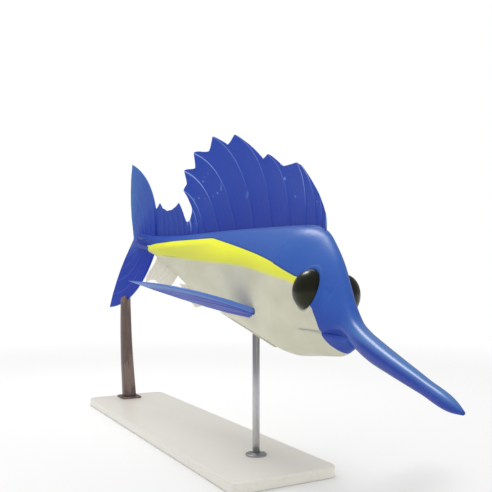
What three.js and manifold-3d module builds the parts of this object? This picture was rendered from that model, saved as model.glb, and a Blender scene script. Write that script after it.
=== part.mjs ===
// Life-size museum model of a sailfish (Istiophorus platypterus), banked and a little nose down on
// two rods above a flat base. Millimetres, +X towards the bill, +Z up. The origin is on the floor, at
// the middle of the whole model's length and width.
//
// The fish is described straight: s runs forward along its spine from the fork of the tail, v to its
// left and w up. place() bends that straight fish into its pose, and the group turns it on the stand.

import * as THREE from "three";
import { mergeVertices } from "three/addons/utils/BufferGeometryUtils.js";
import Module from "manifold-3d";

const wasm = await Module();
wasm.setup();

// Driving dimensions

const FORK_LENGTH = 1750; // lower jaw tip to the fork of the tail
const BILL_TIP = 2163; // bill tip to the fork of the tail
const GAP = 0.3; // clearance between neighbouring pieces
const DEG = Math.PI / 180;

const POSE = {
  origin: 787.5, // point of the spine that the group places
  bendStart: 735, // the spine is straight here and turns towards both ends
  headBend: 700, // length over which the front turns, the skull beyond it is straight
  tailBend: 735,
  tailBendLimit: 1.12,
  headTurn: -17.3 * DEG, // towards the fish's right
  headDrop: -4.5 * DEG,
  tailTurn: 8 * DEG,
  noseDown: 8.1 * DEG,
  bank: -6.1 * DEG, // left side down
  forward: -146.2, // where the spine's origin stands over the floor
  left: -2.3,
  height: 611, // above the floor
};

// Back, belly and half width of the straight body at distances along the spine.
const BACK = [
  [-30, 16], [-20, 27], [0, 33], [40, 34], [88, 34], [175, 38], [350, 54], [525, 78], [700, 101],
  [875, 122], [1050, 142], [1225, 162], [1340, 174], [1415, 177], [1470, 169], [1520, 153],
  [1580, 127], [1640, 90], [1690, 58], [1750, 32],
];
const BELLY = [
  [-30, -16], [-20, -27], [0, -35], [40, -37], [88, -39], [175, -50], [350, -88], [525, -131],
  [700, -161], [875, -174], [1050, -176], [1225, -170], [1365, -157], [1435, -143], [1496, -125],
  [1566, -104], [1627, -86], [1680, -70], [1750, -47],
];
const SIDE = [
  [-30, 6], [-20, 12], [0, 17], [40, 20], [88, 23], [175, 30], [350, 46], [525, 63], [700, 77],
  [875, 87], [1050, 93], [1225, 93], [1365, 85], [1435, 74], [1496, 62], [1566, 50], [1627, 39],
  [1680, 30], [1750, 21],
];
const ROUNDNESS = { trunk: 2.15, nape: 1.55 }; // exponents of the superellipse sections
const NAPE = [1340, 1500]; // over this length the upper half narrows to the nape's exponent

const HEAD = {
  gillOpening: 1335, // where the gill cover ends on the flank
  gillOpeningBack: 62, // how much further forward it ends on the nape
  gillOpeningThroat: 105, // and under the throat
  warpStart: 1200,
  warpEnd: 1485,
  mouthCorner: 1530,
  mouthDepth: 0.49, // depth of the mouth line as a share of the head's lower half, at the corner
  mouthDepthTip: 0.3,
  lipWidth: 7,
  lipDepth: 4,
  lipBulge: 1.4,
  lipFade: [1528, 1552], // the lips grow out of the closed cheek over this length
  jawClose: 1690, // the lower jaw narrows to its rounded tip from here
  jawTip: FORK_LENGTH + 2,
  billJoint: 1725,
};

// Upper edge, lower edge and half width of the round bill.
const BILL = [
  [1640, 88, -30, 30], [1700, 49, -21, 22], [1750, 27, -23, 20], [1800, 19, -28, 20],
  [1860, 15.5, -29, 20], [1930, 13, -25, 18], [2050, 10, -17, 12.5], [2140, 7, -10.5, 8],
  [2163, 2.2, -4, 3],
];
const BILL_BLEND = [1640, 1750]; // the skull's section turns into the bill's here
const BILL_START = -35 * DEG; // round the bill, where the upper head's lip runs into it

const EYE = { at: 1543, height: 41, radius: 47, bulge: 36, depth: 7, forward: 18 * DEG, up: 11 * DEG };
const EYE_RIM = { radius: 45.5, tube: 4.5, sunk: 1.5 };
const NOSTRILS = [
  { at: 1632, height: 52, size: [7, 5, 4.5] },
  { at: 1616, height: 56, size: [5, 5, 4] },
];
const GILL_COVER = {
  length: 100, thickness: 8, lift: 5, upper: 34 * DEG, lower: -64 * DEG, rows: 6, columns: 7,
  groove: 6, // open space behind the cover's rear edge
  fade: 0.8, // exponent of the lift, from the rear edge forward
};

const JOINTS = { trunk: 875, stalk: 210 }; // where the trunk and the tail stalk are parted

const KEELS = {
  from: 5, to: 150, height: 17, thickness: 9, spread: 13,
  root: 0.75, // where a keel's middle lies, as a share of the stalk's half width
  fullness: 0.7, // exponent of the half sine along it
};

// Fins lie in the fish's middle plane as [s, w] roots and tips of their strong rays. A notch is the
// end of the membrane behind a ray's tip, and the edge runs from there to the next tip.
const ROOT_SUNK = 12; // how far a fin's root starts inside the body, before it is cut to the surface
const RAY_SHOULDER = 0.24; // flank of a ray's ridge, as a share of the space between two rays
const SAIL = {
  rays: [
    { root: 1448, tip: [1421, 214], notch: [1415, 217] },
    { root: 1425, tip: [1342, 259], notch: [1336, 262], bow: 0.075 },
    { root: 1390, tip: [1168, 335], notch: [1160, 334], bow: 0.075 },
    { root: 1296, tip: [1138, 341], notch: [1052, 328] },
    { root: 1185, tip: [914, 371], notch: [892, 347] },
    { root: 1052, tip: [651, 450], notch: [622, 411] },
    { root: 920, tip: [478, 450], notch: [480, 395] },
    { root: 793, tip: [341, 390], notch: [385, 330] },
    { root: 668, tip: [284, 317], notch: [330, 268] },
    { root: 555, tip: [306, 236], notch: [350, 212] },
    { root: 496, tip: [402, 172], notch: [409, 160] },
    { root: 440, tip: [405, 124], notch: [397, 118] },
    { root: 409, tip: [384, 113] },
  ],
  between: 2,
  rows: 6,
  bow: 0.1,
  ray: [7.5, 2],
  membrane: [3, 1.3],
};
const SECOND_DORSAL = {
  rays: [
    { root: 407.5, tip: [382.5, 113], notch: [379, 113], bow: 0.1 },
    { root: 380, tip: [285, 186], notch: [268, 172] },
    { root: 345, tip: [240, 156], notch: [232, 153] },
    { root: 300, tip: [205, 148], notch: [196, 146] },
    { root: 250, tip: [164, 153], notch: [157, 152] },
    { root: 205, tip: [117, 176], notch: [104, 156] },
    { root: 148, tip: [92, 148], bow: 0.03 },
  ],
  between: 1,
  rows: 4,
  bow: 0.08,
  ray: [6, 2],
  membrane: [3, 1.4],
};
const SECOND_ANAL = {
  rays: [
    { root: 385, tip: [272, -192], notch: [256, -178] },
    { root: 340, tip: [226, -160], notch: [219, -157] },
    { root: 297, tip: [192, -150], notch: [183, -148] },
    { root: 250, tip: [150, -154], notch: [144, -152] },
    { root: 208, tip: [104, -176], notch: [103, -146] },
    { root: 176, tip: [122, -118] },
  ],
  between: 1,
  rows: 4,
  bow: 0.08,
  ray: [6, 2],
  membrane: [3, 1.4],
};
const FIRST_ANAL = {
  rays: [
    { root: 668, tip: [560, -196], notch: [548, -190] },
    { root: 628, tip: [516, -182], notch: [508, -178] },
    { root: 585, tip: [474, -164], notch: [467, -160] },
    { root: 540, tip: [434, -146], notch: [428, -142] },
    { root: 495, tip: [398, -128] },
  ],
  between: 1,
  rows: 4,
  bow: 0.06,
  ray: [7, 2.2],
  membrane: [4, 1.6],
};
const TAIL_LOBE = {
  rays: [
    { root: [138, 31], tip: [-198, 337], notch: [-194, 322], bow: 0.145 },
    { root: [92, 26], tip: [-188, 272], notch: [-186, 266], bow: 0.14 },
    { root: [56, 22], tip: [-170, 208], notch: [-168, 203], bow: 0.12 },
    { root: [28, 16], tip: [-149, 150], notch: [-147, 146], bow: 0.09 },
    { root: [8, 11], tip: [-123, 94], notch: [-121, 90], bow: 0.06 },
    { root: [-6, 6], tip: [-93, 42], notch: [-91, 38], bow: 0.03 },
    { root: [-12, 0.15], tip: [-70, 0.15], bow: 0 },
  ],
  between: 1,
  rows: 5,
  ray: [19, 2.6],
  membrane: [15, 1.8],
};
const PECTORAL = {
  at: 1210,
  angle: -32 * DEG, // round the section, below the flank
  sunk: 16,
  outward: 49.5 * DEG, // from straight back
  upward: 3 * DEG,
  twist: 28 * DEG,
  droop: 14, // of the tip, below a flat blade
  rays: [
    { root: [0, 30], tip: [424, -22], notch: [408, -29], bow: 0.07 },
    { root: [0, 20], tip: [348, -50], notch: [338, -53], bow: 0.06 },
    { root: [0, 10], tip: [260, -68], notch: [251, -70], bow: 0.05 },
    { root: [0, -4], tip: [174, -76], notch: [166, -76], bow: 0.03 },
    { root: [0, -18], tip: [108, -74], notch: [102, -73], bow: 0.02 },
    { root: [0, -32], tip: [56, -58], bow: 0 },
  ],
  between: 1,
  rows: 5,
  ray: [15, 2.2],
  membrane: [11, 1.5],
};
const PELVIC = {
  from: 1285, to: 800, apart: 17, width: 9, thickness: 7, proud: 2.5,
  thinning: 0.93, // of the tip's section, as a share of the root's
  start: [-0.02, 0.06], // shares of its length over which it swells out of the belly
};

const BASE = { length: 1390, width: 340, thickness: 30, corner: 36, bevel: 4, middle: [-388, -64] };
const FRONT_ROD = {
  at: 1060, radius: 11, reach: 40, flangeRadius: 32, flangeRim: 3.6, flangeHeight: 8, flangeSlope: 8,
};
const REAR_ROD = {
  at: -52, below: -292, // the point of the lower tail lobe that the rod carries
  width: [40, 60], depth: [40, 56], // at the top and at the foot
  bow: -13, grip: 34,
  roundness: 0.6, // exponent of the section, 1 for an ellipse
  lean: [6, 20], // of the foot from below the grip
  flange: [92, 86, 7], flangeCorner: 12, flangeBevel: 1.5,
};

const COLOURS = {
  blue: 0x3d5aad, sail: 0x3549a3, tail: 0x3b4e99, white: 0xc4c0b4, bill: 0x4f78a4, eye: 0x1c1b19,
  pale: 0xd9d4c6, brown: 0x6b5450, steel: 0xb9bcc0, base: 0xe9e7e2,
};

// Curves

// Smooth curve through [x, y, ...] knots: cubic, with the slope at a knot from its neighbours.
function smooth(knots, column = 1) {
  const n = knots.length;
  const slope = knots.map((k, i) => {
    if (i === 0 || i === n - 1) {
      const [a, b] = i === 0 ? [knots[0], knots[1]] : [knots[n - 2], knots[n - 1]];
      return (b[column] - a[column]) / (b[0] - a[0]);
    }
    const before = knots[i - 1], after = knots[i + 1];
    const h0 = k[0] - before[0], h1 = after[0] - k[0];
    const d0 = (k[column] - before[column]) / h0, d1 = (after[column] - k[column]) / h1;
    return (d0 * h1 + d1 * h0) / (h0 + h1);
  });
  return (x) => {
    let i = 0;
    while (i < n - 2 && x > knots[i + 1][0]) i++;
    const h = knots[i + 1][0] - knots[i][0];
    const t = Math.min(Math.max((x - knots[i][0]) / h, 0), 1);
    const y0 = knots[i][column], y1 = knots[i + 1][column];
    return (
      y0 * (1 + 2 * t) * (1 - t) ** 2 + y1 * t * t * (3 - 2 * t) +
      h * (slope[i] * t * (1 - t) ** 2 + slope[i + 1] * t * t * (t - 1))
    );
  };
}

const back = smooth(BACK), belly = smooth(BELLY), side = smooth(SIDE);
const billTop = smooth(BILL, 1), billBottom = smooth(BILL, 2), billSide = smooth(BILL, 3);
const mix = (a, b, t) => a + (b - a) * t;
const clamp = (x, low, high) => Math.min(Math.max(x, low), high);
const ease = (x, from, to) => {
  const t = clamp((x - from) / (to - from), 0, 1);
  return t * t * (3 - 2 * t);
};

// The spine in its pose: its direction turns evenly over each bend, and its course is the sum of
// short steps along that direction.
const spine = (() => {
  const step = 5, from = -450, count = 560;
  const angles = (s) => {
    const front = clamp((s - POSE.bendStart) / POSE.headBend, 0, 1);
    const rear = clamp((POSE.bendStart - s) / POSE.tailBend, 0, POSE.tailBendLimit);
    return [POSE.headTurn * front + POSE.tailTurn * rear, POSE.headDrop * front];
  };
  const direction = (s) => {
    const [turn, rise] = angles(s);
    return new THREE.Vector3(
      Math.cos(turn) * Math.cos(rise), Math.sin(turn) * Math.cos(rise), Math.sin(rise));
  };
  const course = [new THREE.Vector3()];
  for (let i = 0; i < count; i++)
    course.push(course[i].clone().addScaledVector(direction(from + (i + 0.5) * step), step));
  const along = (s) => {
    const x = (s - from) / step, i = Math.floor(x);
    return course[i].clone().lerp(course[i + 1], x - i);
  };
  const start = along(POSE.origin);
  return { angles, at: (s) => along(s).sub(start) };
})();

function place(s, v, w) {
  const [turn, rise] = spine.angles(s);
  const left = new THREE.Vector3(-Math.sin(turn), Math.cos(turn), 0);
  const up = new THREE.Vector3(
    -Math.sin(rise) * Math.cos(turn), -Math.sin(rise) * Math.sin(turn), Math.cos(rise));
  return spine.at(s).addScaledVector(left, v).addScaledVector(up, w);
}

// Closed surfaces

function surface(points, faces) {
  const geometry = new THREE.BufferGeometry();
  const numbers = points.flatMap((p) => p.toArray());
  geometry.setAttribute("position", new THREE.Float32BufferAttribute(numbers, 3));
  geometry.setIndex(faces.flat());
  return outward(geometry);
}

// Turns the faces round where they point inwards.
function outward(geometry) {
  const p = geometry.attributes.position, index = geometry.index.array;
  const corner = [new THREE.Vector3(), new THREE.Vector3(), new THREE.Vector3()];
  let volume = 0;
  for (let i = 0; i < index.length; i += 3) {
    corner.forEach((c, k) => c.fromBufferAttribute(p, index[i + k]));
    volume += corner[0].dot(corner[1].clone().cross(corner[2]));
  }
  if (volume < 0)
    for (let i = 0; i < index.length; i += 3)
      [index[i + 1], index[i + 2]] = [index[i + 2], index[i + 1]];
  return geometry;
}

// Skin over rings of equally many points, closed at both ends by a fan to a middle point.
function loft(rings, startMiddle, endMiddle) {
  const n = rings[0].length, faces = [], points = rings.flat();
  for (let k = 0; k + 1 < rings.length; k++)
    for (let i = 0; i < n; i++) {
      const a = k * n + i, b = k * n + ((i + 1) % n);
      faces.push([a, b, b + n], [a, b + n, a + n]);
    }
  const middleOf = (ring) => ring.reduce((m, p) => m.add(p), new THREE.Vector3()).divideScalar(n);
  const first = points.push(startMiddle ?? middleOf(rings[0])) - 1;
  const last = points.push(endMiddle ?? middleOf(rings.at(-1))) - 1;
  const end = (rings.length - 1) * n;
  for (let i = 0; i < n; i++) {
    const j = (i + 1) % n;
    faces.push([first, j, i], [last, end + i, end + j]);
  }
  return surface(points, faces);
}

function solid(geometry) {
  const bare = geometry.clone();
  for (const name of Object.keys(bare.attributes)) if (name !== "position") bare.deleteAttribute(name);
  const merged = mergeVertices(bare, 1e-3);
  return new wasm.Manifold(new wasm.Mesh({
    numProp: 3,
    vertProperties: new Float32Array(merged.attributes.position.array),
    triVerts: new Uint32Array(merged.index.array),
  }));
}

// The largest closed body of a solid, as a geometry.
function geometryOf(shape) {
  const body = shape.decompose().sort((a, b) => b.volume() - a.volume())[0];
  const mesh = body.getMesh(), n = mesh.numProp, points = [];
  for (let i = 0; i < mesh.numVert; i++)
    points.push(mesh.vertProperties[i * n], mesh.vertProperties[i * n + 1], mesh.vertProperties[i * n + 2]);
  const geometry = new THREE.BufferGeometry();
  geometry.setAttribute("position", new THREE.Float32BufferAttribute(points, 3));
  geometry.setIndex([...mesh.triVerts]);
  return geometry;
}

const cut = (geometry, ...tools) =>
  geometryOf(tools.reduce((shape, tool) => shape.subtract(solid(tool)), solid(geometry)));
const join = (geometry, ...others) =>
  geometryOf(others.reduce((shape, other) => shape.add(solid(other)), solid(geometry)));

// Body sections

const UPPER = 19, LOWER = 9; // points over the back from lip to lip, and under the belly

const upperRoundness = (s) => mix(ROUNDNESS.trunk, ROUNDNESS.nape, ease(s, ...NAPE));

// How far the flank stands out from the middle plane at a height above it.
const flank = (s, w) =>
  side(s) * (1 - Math.abs(w / back(s)) ** upperRoundness(s)) ** (1 / upperRoundness(s));

// A point of the body's section at s, at an angle from the fish's left, raised by grow.
function section(s, angle, grow = 0) {
  const c = Math.cos(angle), d = Math.sin(angle);
  const power = 2 / (d > 0 ? upperRoundness(s) : ROUNDNESS.trunk);
  const v = (side(s) + grow) * Math.sign(c) * Math.abs(c) ** power;
  const reach = d >= 0 ? back(s) + grow : -belly(s) + grow;
  return [v, reach * Math.sign(d) * Math.abs(d) ** power];
}

const mouthShare = (s) =>
  mix(HEAD.mouthDepth, HEAD.mouthDepthTip,
    clamp((s - HEAD.mouthCorner) / (FORK_LENGTH - HEAD.mouthCorner), 0, 1));
const mouthLine = (s) => belly(s) * mouthShare(s);
const cornerAngle = (s) => Math.asin(mouthShare(s) ** (ROUNDNESS.trunk / 2));
const lipShape = (s) => ease(s, ...HEAD.lipFade);

// Angles of a ring's points: the lip corner, a point above it, the back, the same on the right,
// and then the belly.
function ringAngles(s) {
  const corner = cornerAngle(s), lip = HEAD.lipWidth / side(s);
  const arc = Array.from({ length: UPPER - 2 }, (_, i) =>
    mix(-corner + lip, Math.PI + corner - lip, i / (UPPER - 3)));
  const under = Array.from({ length: LOWER }, (_, i) =>
    mix(Math.PI + corner, 2 * Math.PI - corner, (i + 1) / (LOWER + 1)));
  return [-corner, ...arc, Math.PI + corner, ...under];
}

// The gill opening leans forward towards the nape and the throat, and rings near it lean with it.
function leaning(s, angle) {
  const lean = s < HEAD.gillOpening
    ? ease(s, HEAD.warpStart, HEAD.gillOpening)
    : 1 - clamp((s - HEAD.gillOpening) / (HEAD.warpEnd - HEAD.gillOpening), 0, 1);
  const d = Math.sin(angle);
  return s + lean * d * d * (d > 0 ? HEAD.gillOpeningBack : HEAD.gillOpeningThroat);
}

const bodyRing = (s, grow = 0, shift = 0) =>
  ringAngles(s).map((angle) => {
    const at = leaning(s, angle);
    return place(at + shift, ...section(at, angle, grow));
  });

// In front of the mouth corner the upper head is cut off flat at the mouth line, with a lip, and
// turns into the round bill.
function upperRing(s, grow = 0, shift = 0) {
  const t = ease(s, ...BILL_BLEND), pull = lipShape(s) * (1 - t);
  const middle = (billTop(s) + billBottom(s)) / 2, high = (billTop(s) - billBottom(s)) / 2 + grow;
  const wide = billSide(s) + grow;
  const angles = ringAngles(s);
  return angles.map((angle, i) => {
    const upper = i < UPPER;
    const share = upper ? i / (UPPER - 1) : (i - UPPER + 1) / (LOWER + 1);
    let [v, w] = section(s, angle, grow);
    if (!upper) {
      const edge = section(s, angles[0], grow);
      v = mix(-edge[0] + HEAD.lipDepth * pull, edge[0] - HEAD.lipDepth * pull, share);
      w = edge[1];
    } else if (i === 0 || i === UPPER - 1) v -= Math.sign(v) * HEAD.lipDepth * pull;
    else if (i === 1 || i === UPPER - 2) v += Math.sign(v) * HEAD.lipBulge * pull;
    const round = upper
      ? mix(BILL_START, Math.PI - BILL_START, share)
      : mix(Math.PI - BILL_START, 2 * Math.PI + BILL_START, share);
    return place(s + shift,
      mix(v, wide * Math.cos(round), t),
      mix(w, middle + high * Math.sin(round), t));
  });
}

// The lower jaw: the rest of the head's section, closed to a rounded point in front.
function jawRing(s) {
  const past = Math.max(s - HEAD.jawClose, 0) / (HEAD.jawTip - HEAD.jawClose), blunt = 0.02;
  const close = Math.sqrt(Math.max(1 - past ** 2, blunt));
  const pull = HEAD.lipDepth * lipShape(s), top = mouthLine(s) - 2 * GAP, corner = cornerAngle(s);
  const points = [];
  const under = LOWER + 4;
  for (let i = 0; i <= under; i++) {
    const angle = mix(Math.PI + corner, 2 * Math.PI - corner, i / under);
    let [v, w] = section(s, angle);
    if (i === 0 || i === under) v -= Math.sign(v) * pull;
    points.push([v * close, top + (Math.min(w, top) - top) * close]);
  }
  const [right, left] = [points[0], points.at(-1)], over = 5;
  for (let i = 1; i < over; i++) points.push([mix(left[0], right[0], i / over), top]);
  return points.map(([v, w]) => place(s, v, w));
}

const range = (from, to, count) => Array.from({ length: count + 1 }, (_, i) => mix(from, to, i / count));
const upTo = (count) => Array.from({ length: count }, (_, i) => i);

// A closed skin from two alike sheets of points, rows by columns, the second behind the first.
function doubleSheet(points, rows, columns) {
  const sheet = rows * columns, faces = [];
  for (let r = 0; r + 1 < rows; r++)
    for (let c = 0; c + 1 < columns; c++) {
      const a = r * columns + c, b = a + columns;
      faces.push([a, a + 1, b + 1], [a, b + 1, b]);
      faces.push([a + sheet, b + 1 + sheet, a + 1 + sheet], [a + sheet, b + sheet, b + 1 + sheet]);
    }
  const rim = [
    ...upTo(columns), ...upTo(rows - 1).map((r) => (r + 2) * columns - 1),
    ...upTo(columns - 1).map((c) => rows * columns - 2 - c),
    ...upTo(rows - 2).map((r) => (rows - 2 - r) * columns),
  ];
  rim.forEach((a, i) => {
    const b = rim[(i + 1) % rim.length];
    faces.push([a, a + sheet, b + sheet], [a, b + sheet, b]);
  });
  return surface(points, faces);
}
const gillMiddle = (shift) => place(HEAD.gillOpening + 34 + shift, 0, 0);

const STALK_STATIONS = [-30, -20, 0, 40, 88, 130, JOINTS.stalk];
const REAR_STATIONS = range(JOINTS.stalk, JOINTS.trunk, 12);
const FRONT_STATIONS = range(JOINTS.trunk, HEAD.gillOpening, 9);
const CHEEK_STATIONS = range(HEAD.gillOpening, HEAD.mouthCorner, 9);
const SNOUT_STATIONS = range(HEAD.mouthCorner, HEAD.billJoint, 10);

const BILL_STATIONS = [HEAD.billJoint, 1750, 1780, 1815, 1860, 1930, 2010, 2090, 2140, 2156, BILL_TIP];

// Rings from one station to the next, drawn back from both ends by half a gap.
function lengthOf(stations, ring) {
  const last = stations.length - 1;
  return stations.map((s, i) => ring(s, 0, i === 0 ? GAP / 2 : i === last ? -GAP / 2 : 0));
}

// The whole body a little too large, to cut the roots of the fins to its surface.
const clearance = loft([
  ...STALK_STATIONS, ...REAR_STATIONS.slice(1), ...FRONT_STATIONS.slice(1), ...CHEEK_STATIONS.slice(1),
  ...SNOUT_STATIONS.slice(1, 4),
].map((s) => bodyRing(s, GAP)));

// Head

// A patch of the head's skin between two depths, for the gill cover and, a gap larger all round, for
// its seat. Both are split at the same places, so that they stay a gap apart. rear is how far ahead
// of the gill opening the patch starts.
function gillPatch(right, margin, rear, inner, outer) {
  const { length, upper, lower, rows, columns } = GILL_COVER;
  const points = [], turn = margin / side(HEAD.gillOpening);
  for (const outside of [false, true])
    for (let i = 0; i <= rows; i++)
      for (let j = 0; j <= columns; j++) {
        const ahead = i === 0 ? rear : (length * i) / rows + (i === rows ? 3 * margin : 0);
        const angle = mix(lower, upper, j / columns) + (j === 0 ? -turn : j === columns ? turn : 0);
        const grow = outside ? outer(i / rows) : inner;
        const round = right ? Math.PI - angle : angle;
        const at = leaning(HEAD.gillOpening + Math.max(ahead, 0), round) + Math.min(ahead, 0);
        points.push(place(at, ...section(at, round, grow)));
      }
  return doubleSheet(points, rows + 1, columns + 1);
}

// Where an eye's middle lies, and the turn that points its axis out of the head.
function eyeSeat(right) {
  const hand = right ? -1 : 1;
  const middle = place(EYE.at, hand * flank(EYE.at, EYE.height), EYE.height);
  const ahead = place(EYE.at + 1, 0, 0).sub(place(EYE.at, 0, 0)).normalize();
  const left = place(EYE.at, 1, 0).sub(place(EYE.at, 0, 0)).normalize();
  const up = place(EYE.at, 0, 1).sub(place(EYE.at, 0, 0)).normalize();
  const axis = left.multiplyScalar(hand * Math.cos(EYE.forward) * Math.cos(EYE.up))
    .addScaledVector(ahead, Math.sin(EYE.forward)).addScaledVector(up, Math.sin(EYE.up)).normalize();
  const turn = new THREE.Quaternion().setFromUnitVectors(new THREE.Vector3(0, 0, 1), axis);
  return { middle, axis, turn, centre: middle.clone().addScaledVector(axis, -EYE.depth) };
}

// A ball flattened along its own axis, with grow added all round.
function eyeball(grow, meridians, parallels) {
  return new THREE.SphereGeometry(1, meridians, parallels)
    .rotateX(Math.PI / 2)
    .scale(EYE.radius + grow, EYE.radius + grow, EYE.bulge + grow);
}

function seated(geometry, seat, position) {
  return geometry.applyQuaternion(seat.turn).translate(...position.toArray());
}

function makeHead() {
  const { groove, thickness, lift } = GILL_COVER, sliver = 0.02; // between the whole and the cut ring
  const rings = [
    ...lengthOf(CHEEK_STATIONS, bodyRing).slice(0, -1), bodyRing(HEAD.mouthCorner),
    ...SNOUT_STATIONS.map((s, i) =>
      upperRing(i === 0 ? s + sliver : s, 0, i === SNOUT_STATIONS.length - 1 ? -GAP / 2 : 0)),
  ];
  let head = loft(rings, gillMiddle(GAP / 2));
  for (const right of [false, true]) {
    const seat = eyeSeat(right), hand = right ? -1 : 1;
    const rim = new THREE.TorusGeometry(EYE_RIM.radius, EYE_RIM.tube, 5, 16);
    head = join(head, seated(rim, seat, seat.middle.clone().addScaledVector(seat.axis, -EYE_RIM.sunk)));
    head = cut(head, seated(eyeball(GAP, 16, 10), seat, seat.centre),
      gillPatch(right, GAP, -groove, -thickness - GAP, () => lift + groove),
      ...NOSTRILS.map(({ at, height, size }) => new THREE.SphereGeometry(1, 8, 6).scale(...size)
        .translate(...place(at, hand * flank(at, height), height).toArray())));
  }
  return head;
}

// The trunk reaches into the head as a low cone, and the inner edge of a gill cover clears it.
const coneClearance = loft([
  ...FRONT_STATIONS.slice(-3, -1).map((s) => bodyRing(s)), bodyRing(HEAD.gillOpening, 0, GAP / 2),
], null, gillMiddle(GAP / 2));

const makeGillCover = (right) =>
  cut(gillPatch(right, 0, GAP / 2, -GILL_COVER.thickness,
    (t) => GILL_COVER.lift * (1 - t) ** GILL_COVER.fade), coneClearance);

function makeJaw() {
  const stations = [
    ...range(HEAD.mouthCorner + 2 * GAP, HEAD.jawClose, 8), 1712, 1730, 1742, 1749, 1751.8,
  ];
  const above = [...SNOUT_STATIONS.slice(1, -1), ...BILL_STATIONS].map((s) => upperRing(s, GAP));
  return cut(loft(stations.map((s) => jawRing(s))), loft(above));
}

function makeBill() {
  return loft(BILL_STATIONS.map((s, i) => upperRing(s, 0, i === 0 ? GAP / 2 : 0)));
}

// Trunk and tail stalk

const makeTrunkFront = () => loft(lengthOf(FRONT_STATIONS, bodyRing), null, gillMiddle(-GAP / 2));
const makeTrunkRear = () => loft(lengthOf(REAR_STATIONS, bodyRing));

// A spindle along the tail stalk's flank, with its inner half inside the stalk.
function keel(hand, height) {
  const rings = range(0, 1, 7).map((t) => {
    const s = mix(KEELS.from, KEELS.to, t);
    const swell = Math.sin(Math.PI * clamp(t, 0.03, 0.97)) ** KEELS.fullness;
    return upTo(6).map((i) => {
      const angle = (i / 6) * 2 * Math.PI;
      return place(s,
        hand * (side(s) * KEELS.root + KEELS.height * swell * Math.cos(angle)),
        height + (KEELS.thickness / 2) * swell * Math.sin(angle));
    });
  });
  return loft(rings);
}

const makeKeels = () =>
  [1, -1].flatMap((hand) => [KEELS.spread, -KEELS.spread].map((height) => keel(hand, height)));

function makeStalk() {
  const stalk = loft(STALK_STATIONS.map((s, i) =>
    bodyRing(s, 0, i === STALK_STATIONS.length - 1 ? -GAP / 2 : 0)));
  return join(stalk, ...makeKeels());
}

// Fins

// A membrane with its rays raised on both faces. Each column runs from a root to the fin's edge
// with a bow to the front, and both faces are split alike.
function fin({ rays, between, rows, bow = 0, ray, membrane }, rootOf, at) {
  const columns = [];
  const addColumn = (i, t, thick) => {
    const a = rays[i], b = rays[Math.min(i + 1, rays.length - 1)];
    const rootA = rootOf(a.root), rootB = rootOf(b.root);
    const from = t === 0 ? a.tip : a.notch;
    columns.push({
      thick,
      bow: mix(a.bow ?? bow, b.bow ?? bow, t),
      root: [mix(rootA[0], rootB[0], t), mix(rootA[1], rootB[1], t)],
      tip: [mix(from[0], b.tip[0], t), mix(from[1], b.tip[1], t)],
    });
  };
  const shoulder = RAY_SHOULDER / (between + 1);
  for (let i = 0; i + 1 < rays.length; i++)
    for (let k = 0; k <= between; k++) {
      const t = k / (between + 1);
      addColumn(i, t, true);
      addColumn(i, t + shoulder, false);
      addColumn(i, t + 1 / (between + 1) - shoulder, false);
    }
  addColumn(rays.length - 1, 0, true);
  const points = [];
  for (const face of [1, -1])
    for (let r = 0; r < rows; r++)
      for (const { root, tip, thick, bow: curve } of columns) {
        const t = r / (rows - 1), along = [tip[0] - root[0], tip[1] - root[1]];
        const lift = 4 * curve * t * (1 - t);
        const [base, end] = thick ? ray : membrane;
        // The bow pushes the column's middle across its own line, towards the leading edge.
        const turn = Math.sign(along[0] * root[1] - along[1] * root[0]) || 1;
        points.push(at(
          root[0] + along[0] * t - turn * along[1] * lift,
          root[1] + along[1] * t + turn * along[0] * lift,
          (face * mix(base, end, t)) / 2));
      }
  return doubleSheet(points, rows, columns.length);
}

const inMiddlePlane = (s, w, v) => place(s, v, w);
const finOnBack = (spec) => cut(fin(spec, (s) => [s, back(s) - ROOT_SUNK], inMiddlePlane), clearance);
const finOnBelly = (spec) => cut(fin(spec, (s) => [s, belly(s) + ROOT_SUNK], inMiddlePlane), clearance);
const keelClearance = join(clearance, ...makeKeels());
const tailLobe = (hand) =>
  cut(fin(TAIL_LOBE, (root) => root, (s, w, v) => place(s, v, hand * w)), keelClearance);

function makePectoral(hand) {
  const root = section(PECTORAL.at, PECTORAL.angle);
  const origin = place(PECTORAL.at, hand * root[0], root[1]);
  const axes = [[1, 0, 0], [0, hand, 0], [0, 0, 1]].map((d) =>
    place(PECTORAL.at + d[0], d[1], d[2]).sub(place(PECTORAL.at, 0, 0)).normalize());
  const combine = (x, y, z) => new THREE.Vector3()
    .addScaledVector(axes[0], x).addScaledVector(axes[1], y).addScaledVector(axes[2], z);
  const { outward: out, upward: rise } = PECTORAL;
  const along = combine(-Math.cos(out) * Math.cos(rise), Math.sin(out) * Math.cos(rise), Math.sin(rise));
  const ahead = combine(Math.sin(out), Math.cos(out), 0);
  const normal = along.clone().cross(ahead).normalize();
  if (normal.dot(axes[2]) < 0) normal.negate();
  const chord = ahead.multiplyScalar(Math.cos(PECTORAL.twist))
    .addScaledVector(normal, Math.sin(PECTORAL.twist)).normalize();
  const face = along.clone().cross(chord).normalize();
  const length = PECTORAL.rays[0].tip[0];
  const blade = fin(PECTORAL, ([x, y]) => [x - PECTORAL.sunk, y], (x, y, h) =>
    origin.clone().addScaledVector(along, x).addScaledVector(chord, y)
      .addScaledVector(normal, -PECTORAL.droop * (Math.max(x, 0) / length) ** 2).addScaledVector(face, h));
  return cut(blade, clearance);
}

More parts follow.
